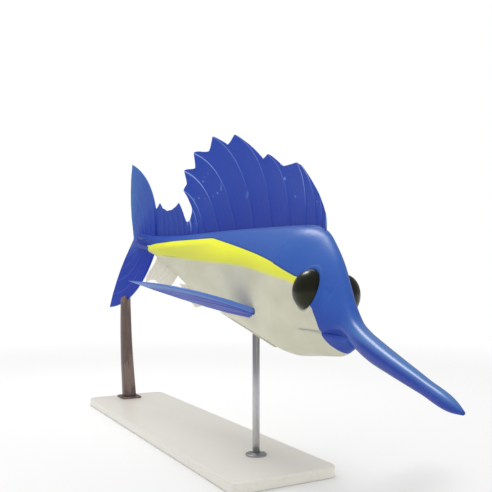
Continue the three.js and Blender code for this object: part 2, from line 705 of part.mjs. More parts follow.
// A long thin pelvic fin laid back along the belly, cut to the belly's surface.
function makePelvic(hand) {
  const rings = range(0, 1, 11).map((t) => {
    const s = mix(PELVIC.from, PELVIC.to, t);
    const share = PELVIC.apart / side(s);
    const skin = belly(s) * (1 - share ** ROUNDNESS.trunk) ** (1 / ROUNDNESS.trunk);
    const taper = Math.sqrt(1 - PELVIC.thinning * t) * ease(t, ...PELVIC.start);
    return upTo(6).map((i) => {
      const angle = (i / 6) * 2 * Math.PI;
      return place(s,
        hand * PELVIC.apart + (PELVIC.width / 2) * taper * Math.cos(angle),
        skin - PELVIC.proud + (PELVIC.thickness / 2) * taper * Math.sin(angle));
    });
  });
  return cut(loft(rings), clearance);
}

// The fish as a group turned on its stand

const fish = new THREE.Group();
fish.rotation.set(POSE.bank, POSE.noseDown, 0, "YXZ");
fish.position.set(POSE.forward, POSE.left, POSE.height);
fish.updateMatrixWorld(true);

const material = (color, roughness, metalness = 0) =>
  new THREE.MeshStandardMaterial({ color, roughness, metalness });
const painted = {
  blue: material(COLOURS.blue, 0.32), sail: material(COLOURS.sail, 0.3), tail: material(COLOURS.tail, 0.34),
  white: material(COLOURS.white, 0.4), bill: material(COLOURS.bill, 0.35), eye: material(COLOURS.eye, 0.08),
  pale: material(COLOURS.pale, 0.4), brown: material(COLOURS.brown, 0.55),
  steel: material(COLOURS.steel, 0.25, 1), base: material(COLOURS.base, 0.45),
};

function add(group, name, geometry, finish) {
  geometry.computeVertexNormals();
  const mesh = new THREE.Mesh(geometry, finish.clone());
  mesh.name = name;
  group.add(mesh);
  return mesh;
}

add(fish, "head", makeHead(), painted.blue);
add(fish, "lower_jaw", makeJaw(), painted.white);
add(fish, "bill", makeBill(), painted.bill);
add(fish, "trunk_front", makeTrunkFront(), painted.blue);
add(fish, "trunk_rear", makeTrunkRear(), painted.blue);
add(fish, "tail_stalk", makeStalk(), painted.tail);
add(fish, "sail", finOnBack(SAIL), painted.sail);
add(fish, "second_dorsal_fin", finOnBack(SECOND_DORSAL), painted.sail);
add(fish, "first_anal_fin", finOnBelly(FIRST_ANAL), painted.pale);
add(fish, "second_anal_fin", finOnBelly(SECOND_ANAL), painted.pale);
add(fish, "tail_lobe_upper", tailLobe(1), painted.tail);
add(fish, "tail_lobe_lower", tailLobe(-1), painted.tail);
for (const [name, hand] of [["left", 1], ["right", -1]]) {
  const seat = eyeSeat(hand < 0);
  const eye = add(fish, "eye_" + name, eyeball(0, 16, 10), painted.eye);
  eye.quaternion.copy(seat.turn);
  eye.position.copy(seat.centre);
  add(fish, "gill_cover_" + name, makeGillCover(hand < 0), painted.blue);
  add(fish, "pectoral_fin_" + name, makePectoral(hand), painted.sail);
  add(fish, "pelvic_fin_" + name, makePelvic(hand), painted.pale);
}

// Stand

const stand = new THREE.Group();
const onFish = (s, v, w) => place(s, v, w).applyMatrix4(fish.matrixWorld);
const shapeInWorld = (geometry) => geometry.clone().applyMatrix4(fish.matrixWorld);

function roundedPlate(length, width, height, corner, bevel) {
  const x = length / 2 - bevel, y = width / 2 - bevel, outline = new THREE.Shape();
  outline.moveTo(-x + corner, -y).lineTo(x - corner, -y)
    .absarc(x - corner, -y + corner, corner, -Math.PI / 2, 0).lineTo(x, y - corner)
    .absarc(x - corner, y - corner, corner, 0, Math.PI / 2).lineTo(-x + corner, y)
    .absarc(-x + corner, y - corner, corner, Math.PI / 2, Math.PI).lineTo(-x, -y + corner)
    .absarc(-x + corner, -y + corner, corner, Math.PI, 1.5 * Math.PI);
  return new THREE.ExtrudeGeometry(outline, {
    depth: height - 2 * bevel, bevelThickness: bevel, bevelSize: bevel, bevelSegments: 1, curveSegments: 3,
  }).translate(0, 0, bevel);
}

const plain = (geometry) => {
  for (const name of ["normal", "uv"]) geometry.deleteAttribute(name);
  return mergeVertices(geometry, 1e-3);
};

add(stand, "stand_base",
  plain(roundedPlate(BASE.length, BASE.width, BASE.thickness, BASE.corner, BASE.bevel)), painted.base)
  .position.set(...BASE.middle, 0);

function makeFrontRod(top) {
  const height = top.z + FRONT_ROD.reach - (BASE.thickness + GAP);
  const rod = plain(new THREE.CylinderGeometry(FRONT_ROD.radius, FRONT_ROD.radius, height, 20, 1)
    .rotateX(Math.PI / 2).translate(top.x, top.y, BASE.thickness + GAP + height / 2));
  return cut(rod, shapeInWorld(clearance));
}

function makeFlange(foot) {
  const { radius, flangeRadius: wide, flangeRim: rim, flangeHeight: high, flangeSlope: slope } = FRONT_ROD;
  const bore = radius + GAP, bottom = BASE.thickness + GAP;
  const profile = [[bore, 0], [wide, 0], [wide, rim], [wide - slope, high], [bore, high], [bore, 0]]
    .map(([x, y]) => new THREE.Vector2(x, y));
  return plain(new THREE.LatheGeometry(profile, 24).rotateX(Math.PI / 2).translate(foot.x, foot.y, bottom));
}

// The rear rod is a bar that widens to its foot and bows a little, slotted for the tail lobe.
function makeRearRod(grip) {
  const foot = BASE.thickness + REAR_ROD.flange[2] + 2 * GAP, top = grip.z + REAR_ROD.grip;
  const rings = range(0, 1, 7).map((t) => {
    const z = mix(foot, top, t), bow = REAR_ROD.bow * Math.sin(Math.PI * t);
    const x = grip.x + bow + REAR_ROD.lean[0] * (1 - t), y = grip.y + REAR_ROD.lean[1] * (1 - t);
    const wide = mix(REAR_ROD.width[1], REAR_ROD.width[0], t) / 2;
    const deep = mix(REAR_ROD.depth[1], REAR_ROD.depth[0], t) / 2;
    return upTo(12).map((i) => {
      const angle = (i / 12) * 2 * Math.PI, c = Math.cos(angle), d = Math.sin(angle);
      return new THREE.Vector3(
        x + wide * Math.sign(c) * Math.abs(c) ** REAR_ROD.roundness,
        y + deep * Math.sign(d) * Math.abs(d) ** REAR_ROD.roundness, z);
    });
  });
  return cut(loft(rings), ...lobeClearance);
}

const frontTop = onFish(FRONT_ROD.at, 0, belly(FRONT_ROD.at));
add(stand, "stand_rod_front", makeFrontRod(frontTop), painted.steel);
add(stand, "stand_flange_front", makeFlange(frontTop), painted.steel);

// The lower tail lobe a gap larger on both faces and both edges.
const wider = (thicknesses) => thicknesses.map((x) => x + 2 * GAP);
const lobeClearance = [1.5 * GAP, -1.5 * GAP].map((shift) => shapeInWorld(fin(
  { ...TAIL_LOBE, ray: wider(TAIL_LOBE.ray), membrane: wider(TAIL_LOBE.membrane) },
  (root) => root, (s, w, v) => place(s + shift, v, -w))));
const rearGrip = onFish(REAR_ROD.at, 0, REAR_ROD.below);
add(stand, "stand_rod_rear", makeRearRod(rearGrip), painted.brown);
const rearPlate = roundedPlate(...REAR_ROD.flange, REAR_ROD.flangeCorner, REAR_ROD.flangeBevel);
add(stand, "stand_plate_rear", plain(rearPlate), painted.brown)
  .position.set(rearGrip.x + REAR_ROD.lean[0], rearGrip.y + REAR_ROD.lean[1], BASE.thickness + GAP);

const model = new THREE.Group();
model.add(fish, stand);

export default model;
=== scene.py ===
"""A life-size museum model of a sailfish on its stand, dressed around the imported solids.

The fish is worked out straight and then posed. In the straight fish s runs forward along the spine
from the fork of the tail, v to the fish's left and w up, all in millimetres. Spine.place() bends that
fish into its pose and gives metres in the frame. The stand and the studio are in metres.
"""

import logging
import math
from dataclasses import dataclass, field
from enum import Enum
from typing import Callable, Sequence

import bpy
import numpy as np
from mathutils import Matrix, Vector


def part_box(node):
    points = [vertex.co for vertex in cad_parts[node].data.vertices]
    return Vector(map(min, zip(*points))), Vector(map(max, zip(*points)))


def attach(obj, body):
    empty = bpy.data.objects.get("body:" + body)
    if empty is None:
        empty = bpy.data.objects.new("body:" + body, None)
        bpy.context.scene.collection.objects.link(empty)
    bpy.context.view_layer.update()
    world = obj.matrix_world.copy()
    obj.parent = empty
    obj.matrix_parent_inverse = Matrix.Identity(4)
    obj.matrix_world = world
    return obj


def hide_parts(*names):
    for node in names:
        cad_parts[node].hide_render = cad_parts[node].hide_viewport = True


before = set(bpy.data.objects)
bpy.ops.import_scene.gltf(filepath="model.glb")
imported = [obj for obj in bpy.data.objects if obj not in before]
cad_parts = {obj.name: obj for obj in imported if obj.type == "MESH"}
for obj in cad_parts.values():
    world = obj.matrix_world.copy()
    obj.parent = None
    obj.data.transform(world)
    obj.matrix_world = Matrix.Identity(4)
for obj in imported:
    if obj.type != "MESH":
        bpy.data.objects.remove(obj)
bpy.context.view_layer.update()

LOG = logging.getLogger("sailfish")
MM = 0.001
DEG = math.pi / 180
Array = np.ndarray
Triple = tuple[float, float, float]
Colour = Triple
Span = tuple[float, float]
Piece = bpy.types.Object
Material = bpy.types.Material
Socket = bpy.types.NodeSocket
Ink = Colour | Socket
# Places at which a density is summed before it is cut into equal shares.
SPREAD_SAMPLES = 4000
# Sockets of a Mix node that blends colours: its factor, its two colours and its result.
MIX_FACTOR, MIX_FIRST, MIX_SECOND, MIX_RESULT = 0, 6, 7, 2
# The value round which cloudy noise varies.
NOISE_MIDDLE = 0.5


class Side(Enum):
    """The fish's own left and right, as the sign of v."""

    LEFT = 1
    RIGHT = -1

    @property
    def word(self) -> str:
        """The side's name as it stands at the end of a piece's name."""
        return self.name.lower()


def mix(a: Array | float, b: Array | float, t: Array | float) -> Array | float:
    """Straight blend: a where t is 0, b where t is 1."""
    return a + (b - a) * t


def ease(x: Array | float, start: float, end: float) -> Array:
    """Smooth step: 0 up to start, 1 from end on, and 3t squared less 2t cubed between.

    Args:
        x: Places to evaluate.
        start: Where the step begins; it may lie above end, and the step then falls.
        end: Where the step ends.

    Returns:
        The step's value at each place.
    """
    t = np.clip((np.asarray(x, float) - start) / (end - start), 0, 1)
    return t * t * (3 - 2 * t)


def bell(x: Array, middle: float | Array, width: float | Array) -> Array:
    """Bell curve: e to the minus square of the distance from the middle over the width."""
    return np.exp(-(((x - middle) / width) ** 2))


def window(x: Array, opens: Span, closes: Span) -> Array:
    """One between two spans: a smooth step up over the first, and down over the second."""
    return ease(x, *opens) * (1 - ease(x, *closes))


def crowd(x: Array, bells: Sequence[Triple]) -> Array:
    """The sum of bells, each of a height, a middle and a width."""
    return sum(height * bell(x, middle, width) for height, middle, width in bells)


def signed_power(x: Array, power: float | Array) -> Array:
    """The size of x to a power, with the sign of x."""
    return np.sign(x) * np.abs(x) ** power


def unit(vectors: Array) -> Array:
    """Vectors scaled to a length of one."""
    return vectors / np.maximum(np.linalg.norm(vectors, axis=-1, keepdims=True), 1e-9)


def circle(count: int) -> Array:
    """Angles spaced evenly round a circle, in one row."""
    return np.linspace(0, 2 * np.pi, count + 1)[None, :-1]


def spread(start: float, end: float, density: Callable[[Array], Array], count: int) -> Array:
    """Places between start and end, closer together where the density is higher.

    The running sum of the density is cut into equal shares, and each cut's place is read back.

    Args:
        start: First place.
        end: Last place.
        density: Relative closeness at a place.
        count: Number of places, both ends included.

    Returns:
        The places, rising from start to end.
    """
    fine = np.linspace(start, end, SPREAD_SAMPLES)
    weight = density(fine)
    total = np.concatenate([[0], np.cumsum((weight[1:] + weight[:-1]) / 2)])
    return np.interp(np.linspace(0, total[-1], count), total, fine)


class Curve:
    """A smooth curve through knots: cubic, with each inner slope weighted from its neighbours."""

    def __init__(self, *knots: Sequence[float]) -> None:
        """Works out the slope at each knot.

        Args:
            knots: Each a place and one or more heights there.
        """
        table = np.array(knots, float)
        self.x = table[:, 0]
        self.y = table[:, 1:]
        step = np.diff(self.x)[:, None]
        rise = np.diff(self.y, axis=0) / step
        inner = (rise[:-1] * step[1:] + rise[1:] * step[:-1]) / (step[1:] + step[:-1])
        self.slope = np.concatenate([rise[:1], inner, rise[-1:]])

    def __call__(self, x: Array | float, column: int = 0) -> Array:
        """Gives the height over each x, by the two ends' heights and slopes of its stretch.

        Args:
            x: Places along the curve; beyond the ends the end's height holds.
            column: Which of the knots' values to read.

        Returns:
            The curve's height at each place.
        """
        x = np.asarray(x, float)
        i = np.searchsorted(self.x[1:-1], x, side="left")
        h = self.x[i + 1] - self.x[i]
        t = np.clip((x - self.x[i]) / h, 0, 1)
        y0, y1 = self.y[i, column], self.y[i + 1, column]
        m0, m1 = self.slope[i, column], self.slope[i + 1, column]
        heights = y0 * (1 + 2 * t) * (1 - t) ** 2 + y1 * t * t * (3 - 2 * t)
        return heights + h * (m0 * t * (1 - t) ** 2 + m1 * t * t * (t - 1))


@dataclass
class Spine:
    """The fish's spine in its pose.

    Its direction turns evenly over the front and rear bends, and its course is the running sum of
    that direction. The whole fish is then banked about its length, pitched nose down and set over
    the floor.
    """

    origin: float = 787.5
    bend_start: float = 735.0
    head_bend: float = 700.0
    tail_bend: float = 735.0
    tail_limit: float = 1.12
    head_turn: float = -17.3 * DEG
    head_drop: float = -4.5 * DEG
    tail_turn: float = 8 * DEG
    nose_down: float = 8.1 * DEG
    bank: float = -6.1 * DEG
    stands_at: Triple = (-146.2, -2.3, 611.0)
    table_from: float = -450.0
    table_to: float = 2350.0
    step: float = 5.0

    def __post_init__(self) -> None:
        """Sums the course once, in steps, from behind the tail to beyond the bill."""
        self.stations = np.arange(self.table_from, self.table_to + self.step, self.step)
        ahead = self._axes(self.stations[:-1] + self.step / 2)[0]
        self.course = np.concatenate([np.zeros((1, 3)), np.cumsum(ahead * self.step, axis=0)])
        self.course -= self._along(np.array(self.origin))
        cp, sp = math.cos(self.nose_down), math.sin(self.nose_down)
        cb, sb = math.cos(self.bank), math.sin(self.bank)
        pitch = np.array([[cp, 0, sp], [0, 1, 0], [-sp, 0, cp]])
        roll = np.array([[1, 0, 0], [0, cb, -sb], [0, sb, cb]])
        self.turned = pitch @ roll

    def _along(self, s: Array) -> Array:
        """The summed course at s, straight between its steps."""
        return np.stack([np.interp(s, self.stations, self.course[:, k]) for k in range(3)], -1)

    def _axes(self, s: Array) -> tuple[Array, Array, Array]:
        """Directions at s before the fish is banked and pitched, by its turn and its rise there.

        Args:
            s: Places along the spine.

        Returns:
            Unit vectors ahead, left and up.
        """
        front = np.clip((s - self.bend_start) / self.head_bend, 0, 1)
        rear = np.clip((self.bend_start - s) / self.tail_bend, 0, self.tail_limit)
        turn = self.head_turn * front + self.tail_turn * rear
        rise = self.head_drop * front
        ch, sh, cr, sr = np.cos(turn), np.sin(turn), np.cos(rise), np.sin(rise)
        ahead = np.stack([ch * cr, sh * cr, sr], -1)
        left = np.stack([-sh, ch, np.zeros_like(ch)], -1)
        return ahead, left, np.stack([-sr * ch, -sr * sh, cr], -1)

    def axes(self, s: float) -> tuple[Array, Array, Array]:
        """Ahead, left and up of the posed fish at s, as unit vectors of the frame."""
        return tuple(axis @ self.turned.T for axis in self._axes(np.array(s, float)))

    def place(self, s: Array, v: Array, w: Array) -> Array:
        """Takes points of the straight fish to the frame.

        Args:
            s: Distance forward of the fork of the tail, in millimetres.
            v: Distance to the fish's left.
            w: Distance up.

        Returns:
            Points of the frame, in metres, in a last axis of three.
        """
        s, v, w = np.broadcast_arrays(*(np.asarray(a, float) for a in (s, v, w)))
        _, left, up = self._axes(s)
        straight = self._along(s) + left * v[..., None] + up * w[..., None]
        return (straight @ self.turned.T + self.stands_at) * MM


SPINE = Spine()


@dataclass(frozen=True)
class Grid:
    """Points in rows and columns that become a mesh, with what its materials read."""

    points: Array
    marks: dict[str, Array] = field(default_factory=dict)


def quads_between(rows: int, columns: int, wrap: bool, start: int = 0) -> Array:
    """Four corners of each face of a grid of points, row by row.

    Args:
        rows: Rows of points.
        columns: Points in a row.
        wrap: Whether the last point of a row joins the first.
        start: Index of the grid's first point.

    Returns:
        One row of four point numbers for each face.
    """
    r, c = np.meshgrid(np.arange(rows - 1), np.arange(columns if wrap else columns - 1), indexing="ij")
    a, b = r * columns + c, r * columns + (c + 1) % columns
    return start + np.stack([a, b, b + columns, a + columns], -1).reshape(-1, 4)


def hang(name: str, data: bpy.types.ID) -> Piece:
    """Links a new object into the scene.

    Args:
        name: Its name.
        data: Its mesh, camera or light.

    Returns:
        The object.
    """
    made = bpy.data.objects.new(name, data)
    bpy.context.scene.collection.objects.link(made)
    return made


def build_piece(
    name: str, points: Array, quads: Array, triangles: Array | None = None,
    marks: dict[str, Array] | None = None, flat: bool = False,
) -> Piece:
    """Makes one object of the scene from arrays of points and faces.

    Args:
        name: Name of the object and its mesh.
        points: Points in metres, in the frame.
        quads: Faces of four points.
        triangles: Faces of three points.
        marks: Values at the points that materials read, of one or three numbers each.
        flat: Whether its faces stay flat in the light.

    Returns:
        The linked object, at the origin.
    """
    triangles = np.zeros((0, 3), int) if triangles is None else triangles
    points = points.reshape(-1, 3)
    if enclosed(points, quads, triangles) < 0:
        quads, triangles = quads[:, ::-1], triangles[:, ::-1]
    mesh = bpy.data.meshes.new(name)
    mesh.vertices.add(len(points))
    mesh.vertices.foreach_set("co", points.astype(np.float32).ravel())
    loops = np.concatenate([quads.ravel(), triangles.ravel()]).astype(np.int32)
    mesh.loops.add(len(loops))
    mesh.loops.foreach_set("vertex_index", loops)
    starts = np.concatenate([np.arange(len(quads)) * 4, quads.size + np.arange(len(triangles)) * 3])
    mesh.polygons.add(len(starts))
    mesh.polygons.foreach_set("loop_start", starts.astype(np.int32))
    mesh.polygons.foreach_set("use_smooth", np.full(len(starts), not flat))
    mesh.update(calc_edges=True)
    for key, values in (marks or {}).items():
        kind = "FLOAT_VECTOR" if values.shape[-1] == 3 and values.size == points.size else "FLOAT"
        layer = mesh.attributes.new(key, kind, "POINT")
        layer.data.foreach_set("vector" if kind == "FLOAT_VECTOR" else "value",
                               values.astype(np.float32).ravel())
    return hang(name, mesh)


def enclosed(points: Array, quads: Array, triangles: Array) -> float:
    """Six times the volume inside the faces: the sum of the corners' triple products."""
    corners = points[np.concatenate([quads[:, :3], quads[:, [0, 2, 3]], triangles])]
    return float(np.einsum("ij,ij->", corners[:, 0], np.cross(corners[:, 1], corners[:, 2])))


def build_tube(name: str, grid: Grid) -> Piece:
    """Makes a closed skin over rings of points, each end drawn together at its middle.

    Args:
        name: Name of the piece.
        grid: Rings of points, with the marks at each.

    Returns:
        The piece.
    """
    rows, columns = grid.points.shape[:2]
    ends = np.stack([grid.points[0].mean(0), grid.points[-1].mean(0)])
    points = np.concatenate([grid.points.reshape(-1, 3), ends])
    ring = np.arange(columns)
    after = (ring + 1) % columns
    first, last = rows * columns, rows * columns + 1
    end = (rows - 1) * columns
    fans = np.concatenate([
        np.stack([np.full(columns, first), after, ring], -1),
        np.stack([np.full(columns, last), end + ring, end + after], -1),
    ])
    marks = {}
    for key, values in grid.marks.items():
        wide = values.reshape(rows * columns, -1)
        ends = np.stack([wide[:columns].mean(0), wide[-columns:].mean(0)])
        marks[key] = np.concatenate([wide, ends])
    return build_piece(name, points, quads_between(rows, columns, True), fans, marks)


def build_leaf(name: str, front: Array, rear: Array, marks: dict[str, Array]) -> Piece:
    """Makes a thin closed leaf from two alike sheets of points joined round their rim.

    Args:
        name: Name of the piece.
        front: Points of one face, in rows and columns.
        rear: Points of the other face.
        marks: Values over one face, taken for both.

    Returns:
        The piece.
    """
    rows, columns = front.shape[:2]
    sheet = rows * columns
    number = np.arange(sheet).reshape(rows, columns)
    rim = np.concatenate([number[0], number[1:, -1], number[-1, -2::-1], number[-2:0:-1, 0]])
    after = np.roll(rim, -1)
    faces = quads_between(rows, columns, False)
    quads = np.concatenate([
        faces, faces[:, ::-1] + sheet, np.stack([rim, rim + sheet, after + sheet, after], -1),
    ])
    points = np.concatenate([front.reshape(-1, 3), rear.reshape(-1, 3)])
    both = {key: np.concatenate([values.reshape(sheet, -1)] * 2) for key, values in marks.items()}
    return build_piece(name, points, quads, None, both)


@dataclass(frozen=True)
class Fade:
    """A gradual change over some measure: where it starts, where it ends, and how much of it shows."""

    start: float
    end: float
    share: float = 1.0


@dataclass(frozen=True)
class Relief:
    """Noise raised as bump: its scale per metre, its detail, its height in metres, its strength."""

    scale: float
    detail: float
    height: float
    strength: float


class Value:
    """A number in a material that varies over the surface: an output socket with operators."""

    def __init__(self, paint: "Paint", socket: Socket) -> None:
        """Keeps the material being painted and the socket that gives the number."""
        self.paint = paint
        self.socket = socket

    def __add__(self, other: "Value | float") -> "Value":
        """Sum."""
        return self.paint.math("ADD", self, other)

    def __sub__(self, other: "Value | float") -> "Value":
        """Difference."""
        return self.paint.math("SUBTRACT", self, other)

    def __rsub__(self, other: float) -> "Value":
        """Difference with the number first."""
        return self.paint.math("SUBTRACT", other, self)

    def __mul__(self, other: "Value | float") -> "Value":
        """Product."""
        return self.paint.math("MULTIPLY", self, other)

    __radd__ = __add__
    __rmul__ = __mul__

    def size(self) -> "Value":
        """The value without its sign."""
        return self.paint.math("ABSOLUTE", self, 0.0)

    def wave(self) -> "Value":
        """The value's sine."""
        return self.paint.math("SINE", self, 0.0)

    def step(self, start: float, end: float) -> "Value":
        """Smooth step of the value from 0 at start to 1 at end."""
        node = self.paint.node("ShaderNodeMapRange", {"interpolation_type": "SMOOTHSTEP"},
                               {"Value": self, "From Min": start, "From Max": end})
        return Value(self.paint, node.outputs["Result"])

    def rise(self, fade: Fade) -> "Value":
        """The fade's share, growing smoothly from its start to its end."""
        return self.step(fade.start, fade.end) * fade.share

    def fall(self, fade: Fade) -> "Value":
        """The fade's share, shrinking smoothly from its start to its end."""
        return (1 - self.step(fade.start, fade.end)) * fade.share

    def bell(self, middle: float, width: float) -> "Value":
        """One at the middle, falling smoothly to nothing a width away on both sides."""
        return 1 - (self - middle).size().step(0, width)


class Paint:
    """One material being painted: a principled shader and the nodes that feed it."""

    def __init__(self, name: str) -> None:
        """Makes a plain material with its shader and output.

        Args:
            name: The material's name.
        """
        self.material = bpy.data.materials.new(name)
        self.material.use_nodes = True
        self.tree = self.material.node_tree
        self.shader = self.tree.nodes["Principled BSDF"]

    def node(self, kind: str, settings: dict | None = None,
             inputs: dict | None = None) -> bpy.types.Node:
        """Adds any node.

        Args:
            kind: The node's type.
            settings: Properties that are set first, such as an operation.
            inputs: Sockets by name or number, each with a number, a colour, a Value or a socket.

        Returns:
            The node.
        """
        made = self.tree.nodes.new(kind)
        for key, value in (settings or {}).items():
            setattr(made, key, value)
        for key, value in (inputs or {}).items():
            self.feed(made.inputs[key], value)
        return made

    def feed(self, socket: Socket, value: object) -> None:
        """Links a value to a socket, or sets the socket where the value is a plain number or colour.

        Args:
            socket: The input socket.
            value: A Value, an output socket, a number, or a colour or vector of three numbers.
        """
        if isinstance(value, Value):
            self.tree.links.new(value.socket, socket)
        elif isinstance(value, Socket):
            self.tree.links.new(value, socket)
        elif isinstance(value, tuple) and socket.type == "RGBA":
            socket.default_value = (*value, 1)
        else:
            socket.default_value = value

    def math(self, operation: str, a: Value | float, b: Value | float) -> Value:
        """Adds a Math node on two values."""
        made = self.node("ShaderNodeMath", {"operation": operation}, {0: a, 1: b})
        return Value(self, made.outputs[0])

    def mark(self, name: str) -> tuple[Value, Value, Value]:
        """The three numbers of a mark that the mesh carries."""
        parts = self.node("ShaderNodeSeparateXYZ", inputs={"Vector": self.vector(name)}).outputs
        return tuple(Value(self, part) for part in parts)

    def vector(self, name: str) -> Socket:
        """A mark of three numbers as one vector."""
        return self.node("ShaderNodeAttribute", {"attribute_name": name}).outputs["Vector"]

    def place(self) -> Socket:
        """The place on the piece itself, in metres of the frame."""
        return self.node("ShaderNodeTexCoord").outputs["Object"]

    def stretched(self, vector: Socket, scale: Triple) -> Socket:
        """A vector scaled apart along each axis."""
        return self.node("ShaderNodeMapping", inputs={"Vector": vector, "Scale": scale}).outputs[0]

    def noise(self, vector: Socket, scale: float | Triple, detail: float) -> Value:
        """Cloudy noise between 0 and 1.

        Args:
            vector: Where it is read.
            scale: Its scale per metre, or one for each axis, which draws it out.
            detail: How many finer layers are added.

        Returns:
            The noise.
        """
        if isinstance(scale, tuple):
            vector, scale = self.stretched(vector, scale), 1.0
        inputs = {"Vector": vector, "Scale": scale, "Detail": detail}
        return Value(self, self.node("ShaderNodeTexNoise", inputs=inputs).outputs["Fac"])

    def cells(self, vector: Socket, scale: Triple) -> bpy.types.Node:
        """Voronoi cells, so many to the metre along each axis."""
        inputs = {"Vector": self.stretched(vector, scale), "Scale": 1.0}
        return self.node("ShaderNodeTexVoronoi", inputs=inputs)

    def blend(self, first: Ink, second: Ink,
              factor: Value | float) -> Socket:
        """Mixes two colours.

        Args:
            first: Colour where the factor is 0.
            second: Colour where the factor is 1.
            factor: Share of the second.

        Returns:
            The mixed colour's socket.
        """
        node = self.node("ShaderNodeMix", {"data_type": "RGBA"},
                         {MIX_FACTOR: factor, MIX_FIRST: first, MIX_SECOND: second})
        return node.outputs[MIX_RESULT]

    def layers(self, ground: Ink,
               *coats: tuple[Ink, Value]) -> Socket:
        """Lays coats over a ground, one after another.

        Args:
            ground: The colour under all coats.
            coats: Each coat's colour, and how much of it shows.

        Returns:
            The colour's socket.
        """
        for colour, factor in coats:
            ground = self.blend(ground, colour, factor)
        return ground

    def bump(self, height: Value, distance: float, strength: float,
             under: Socket | None = None) -> Socket:
        """A normal from a height.

        Args:
            height: Height over the surface, between 0 and 1.
            distance: Real height of 1, in metres.
            strength: Share of the effect.
            under: A normal that this one adds to.

        Returns:
            The normal's socket.
        """
        inputs = {"Height": height, "Distance": distance, "Strength": strength}
        if under is not None:
            inputs["Normal"] = under
        return self.node("ShaderNodeBump", inputs=inputs).outputs[0]

    def relief(self, vector: Socket, form: Relief,
               under: Socket | None = None) -> Socket:
        """A normal from raised noise, added to the normal under it."""
        height = self.noise(vector, form.scale, form.detail)
        return self.bump(height, form.height, form.strength, under)

    def finish(self, **sockets: object) -> Material:
        """Feeds the shader's sockets, named with underscores for blanks, and gives the material."""
        for key, value in sockets.items():
            self.feed(self.shader.inputs[key.replace("_", " ")], value)
        return self.material


def tint(red: int, green: int, blue: int) -> Colour:
    """A display colour as linear light: the sRGB curve undone.

    The curve is a straight line for the darkest values, and above them a power of 2.4.

    Args:
        red: Red, from 0 to 255.
        green: Green, likewise.
        blue: Blue, likewise.

    Returns:
        The colour's shares of linear light.
    """
    shares = np.array([red, green, blue]) / 255
    light = np.where(shares <= 0.04045, shares / 12.92, ((shares + 0.055) / 1.055) ** 2.4)
    return tuple(float(x) for x in light)


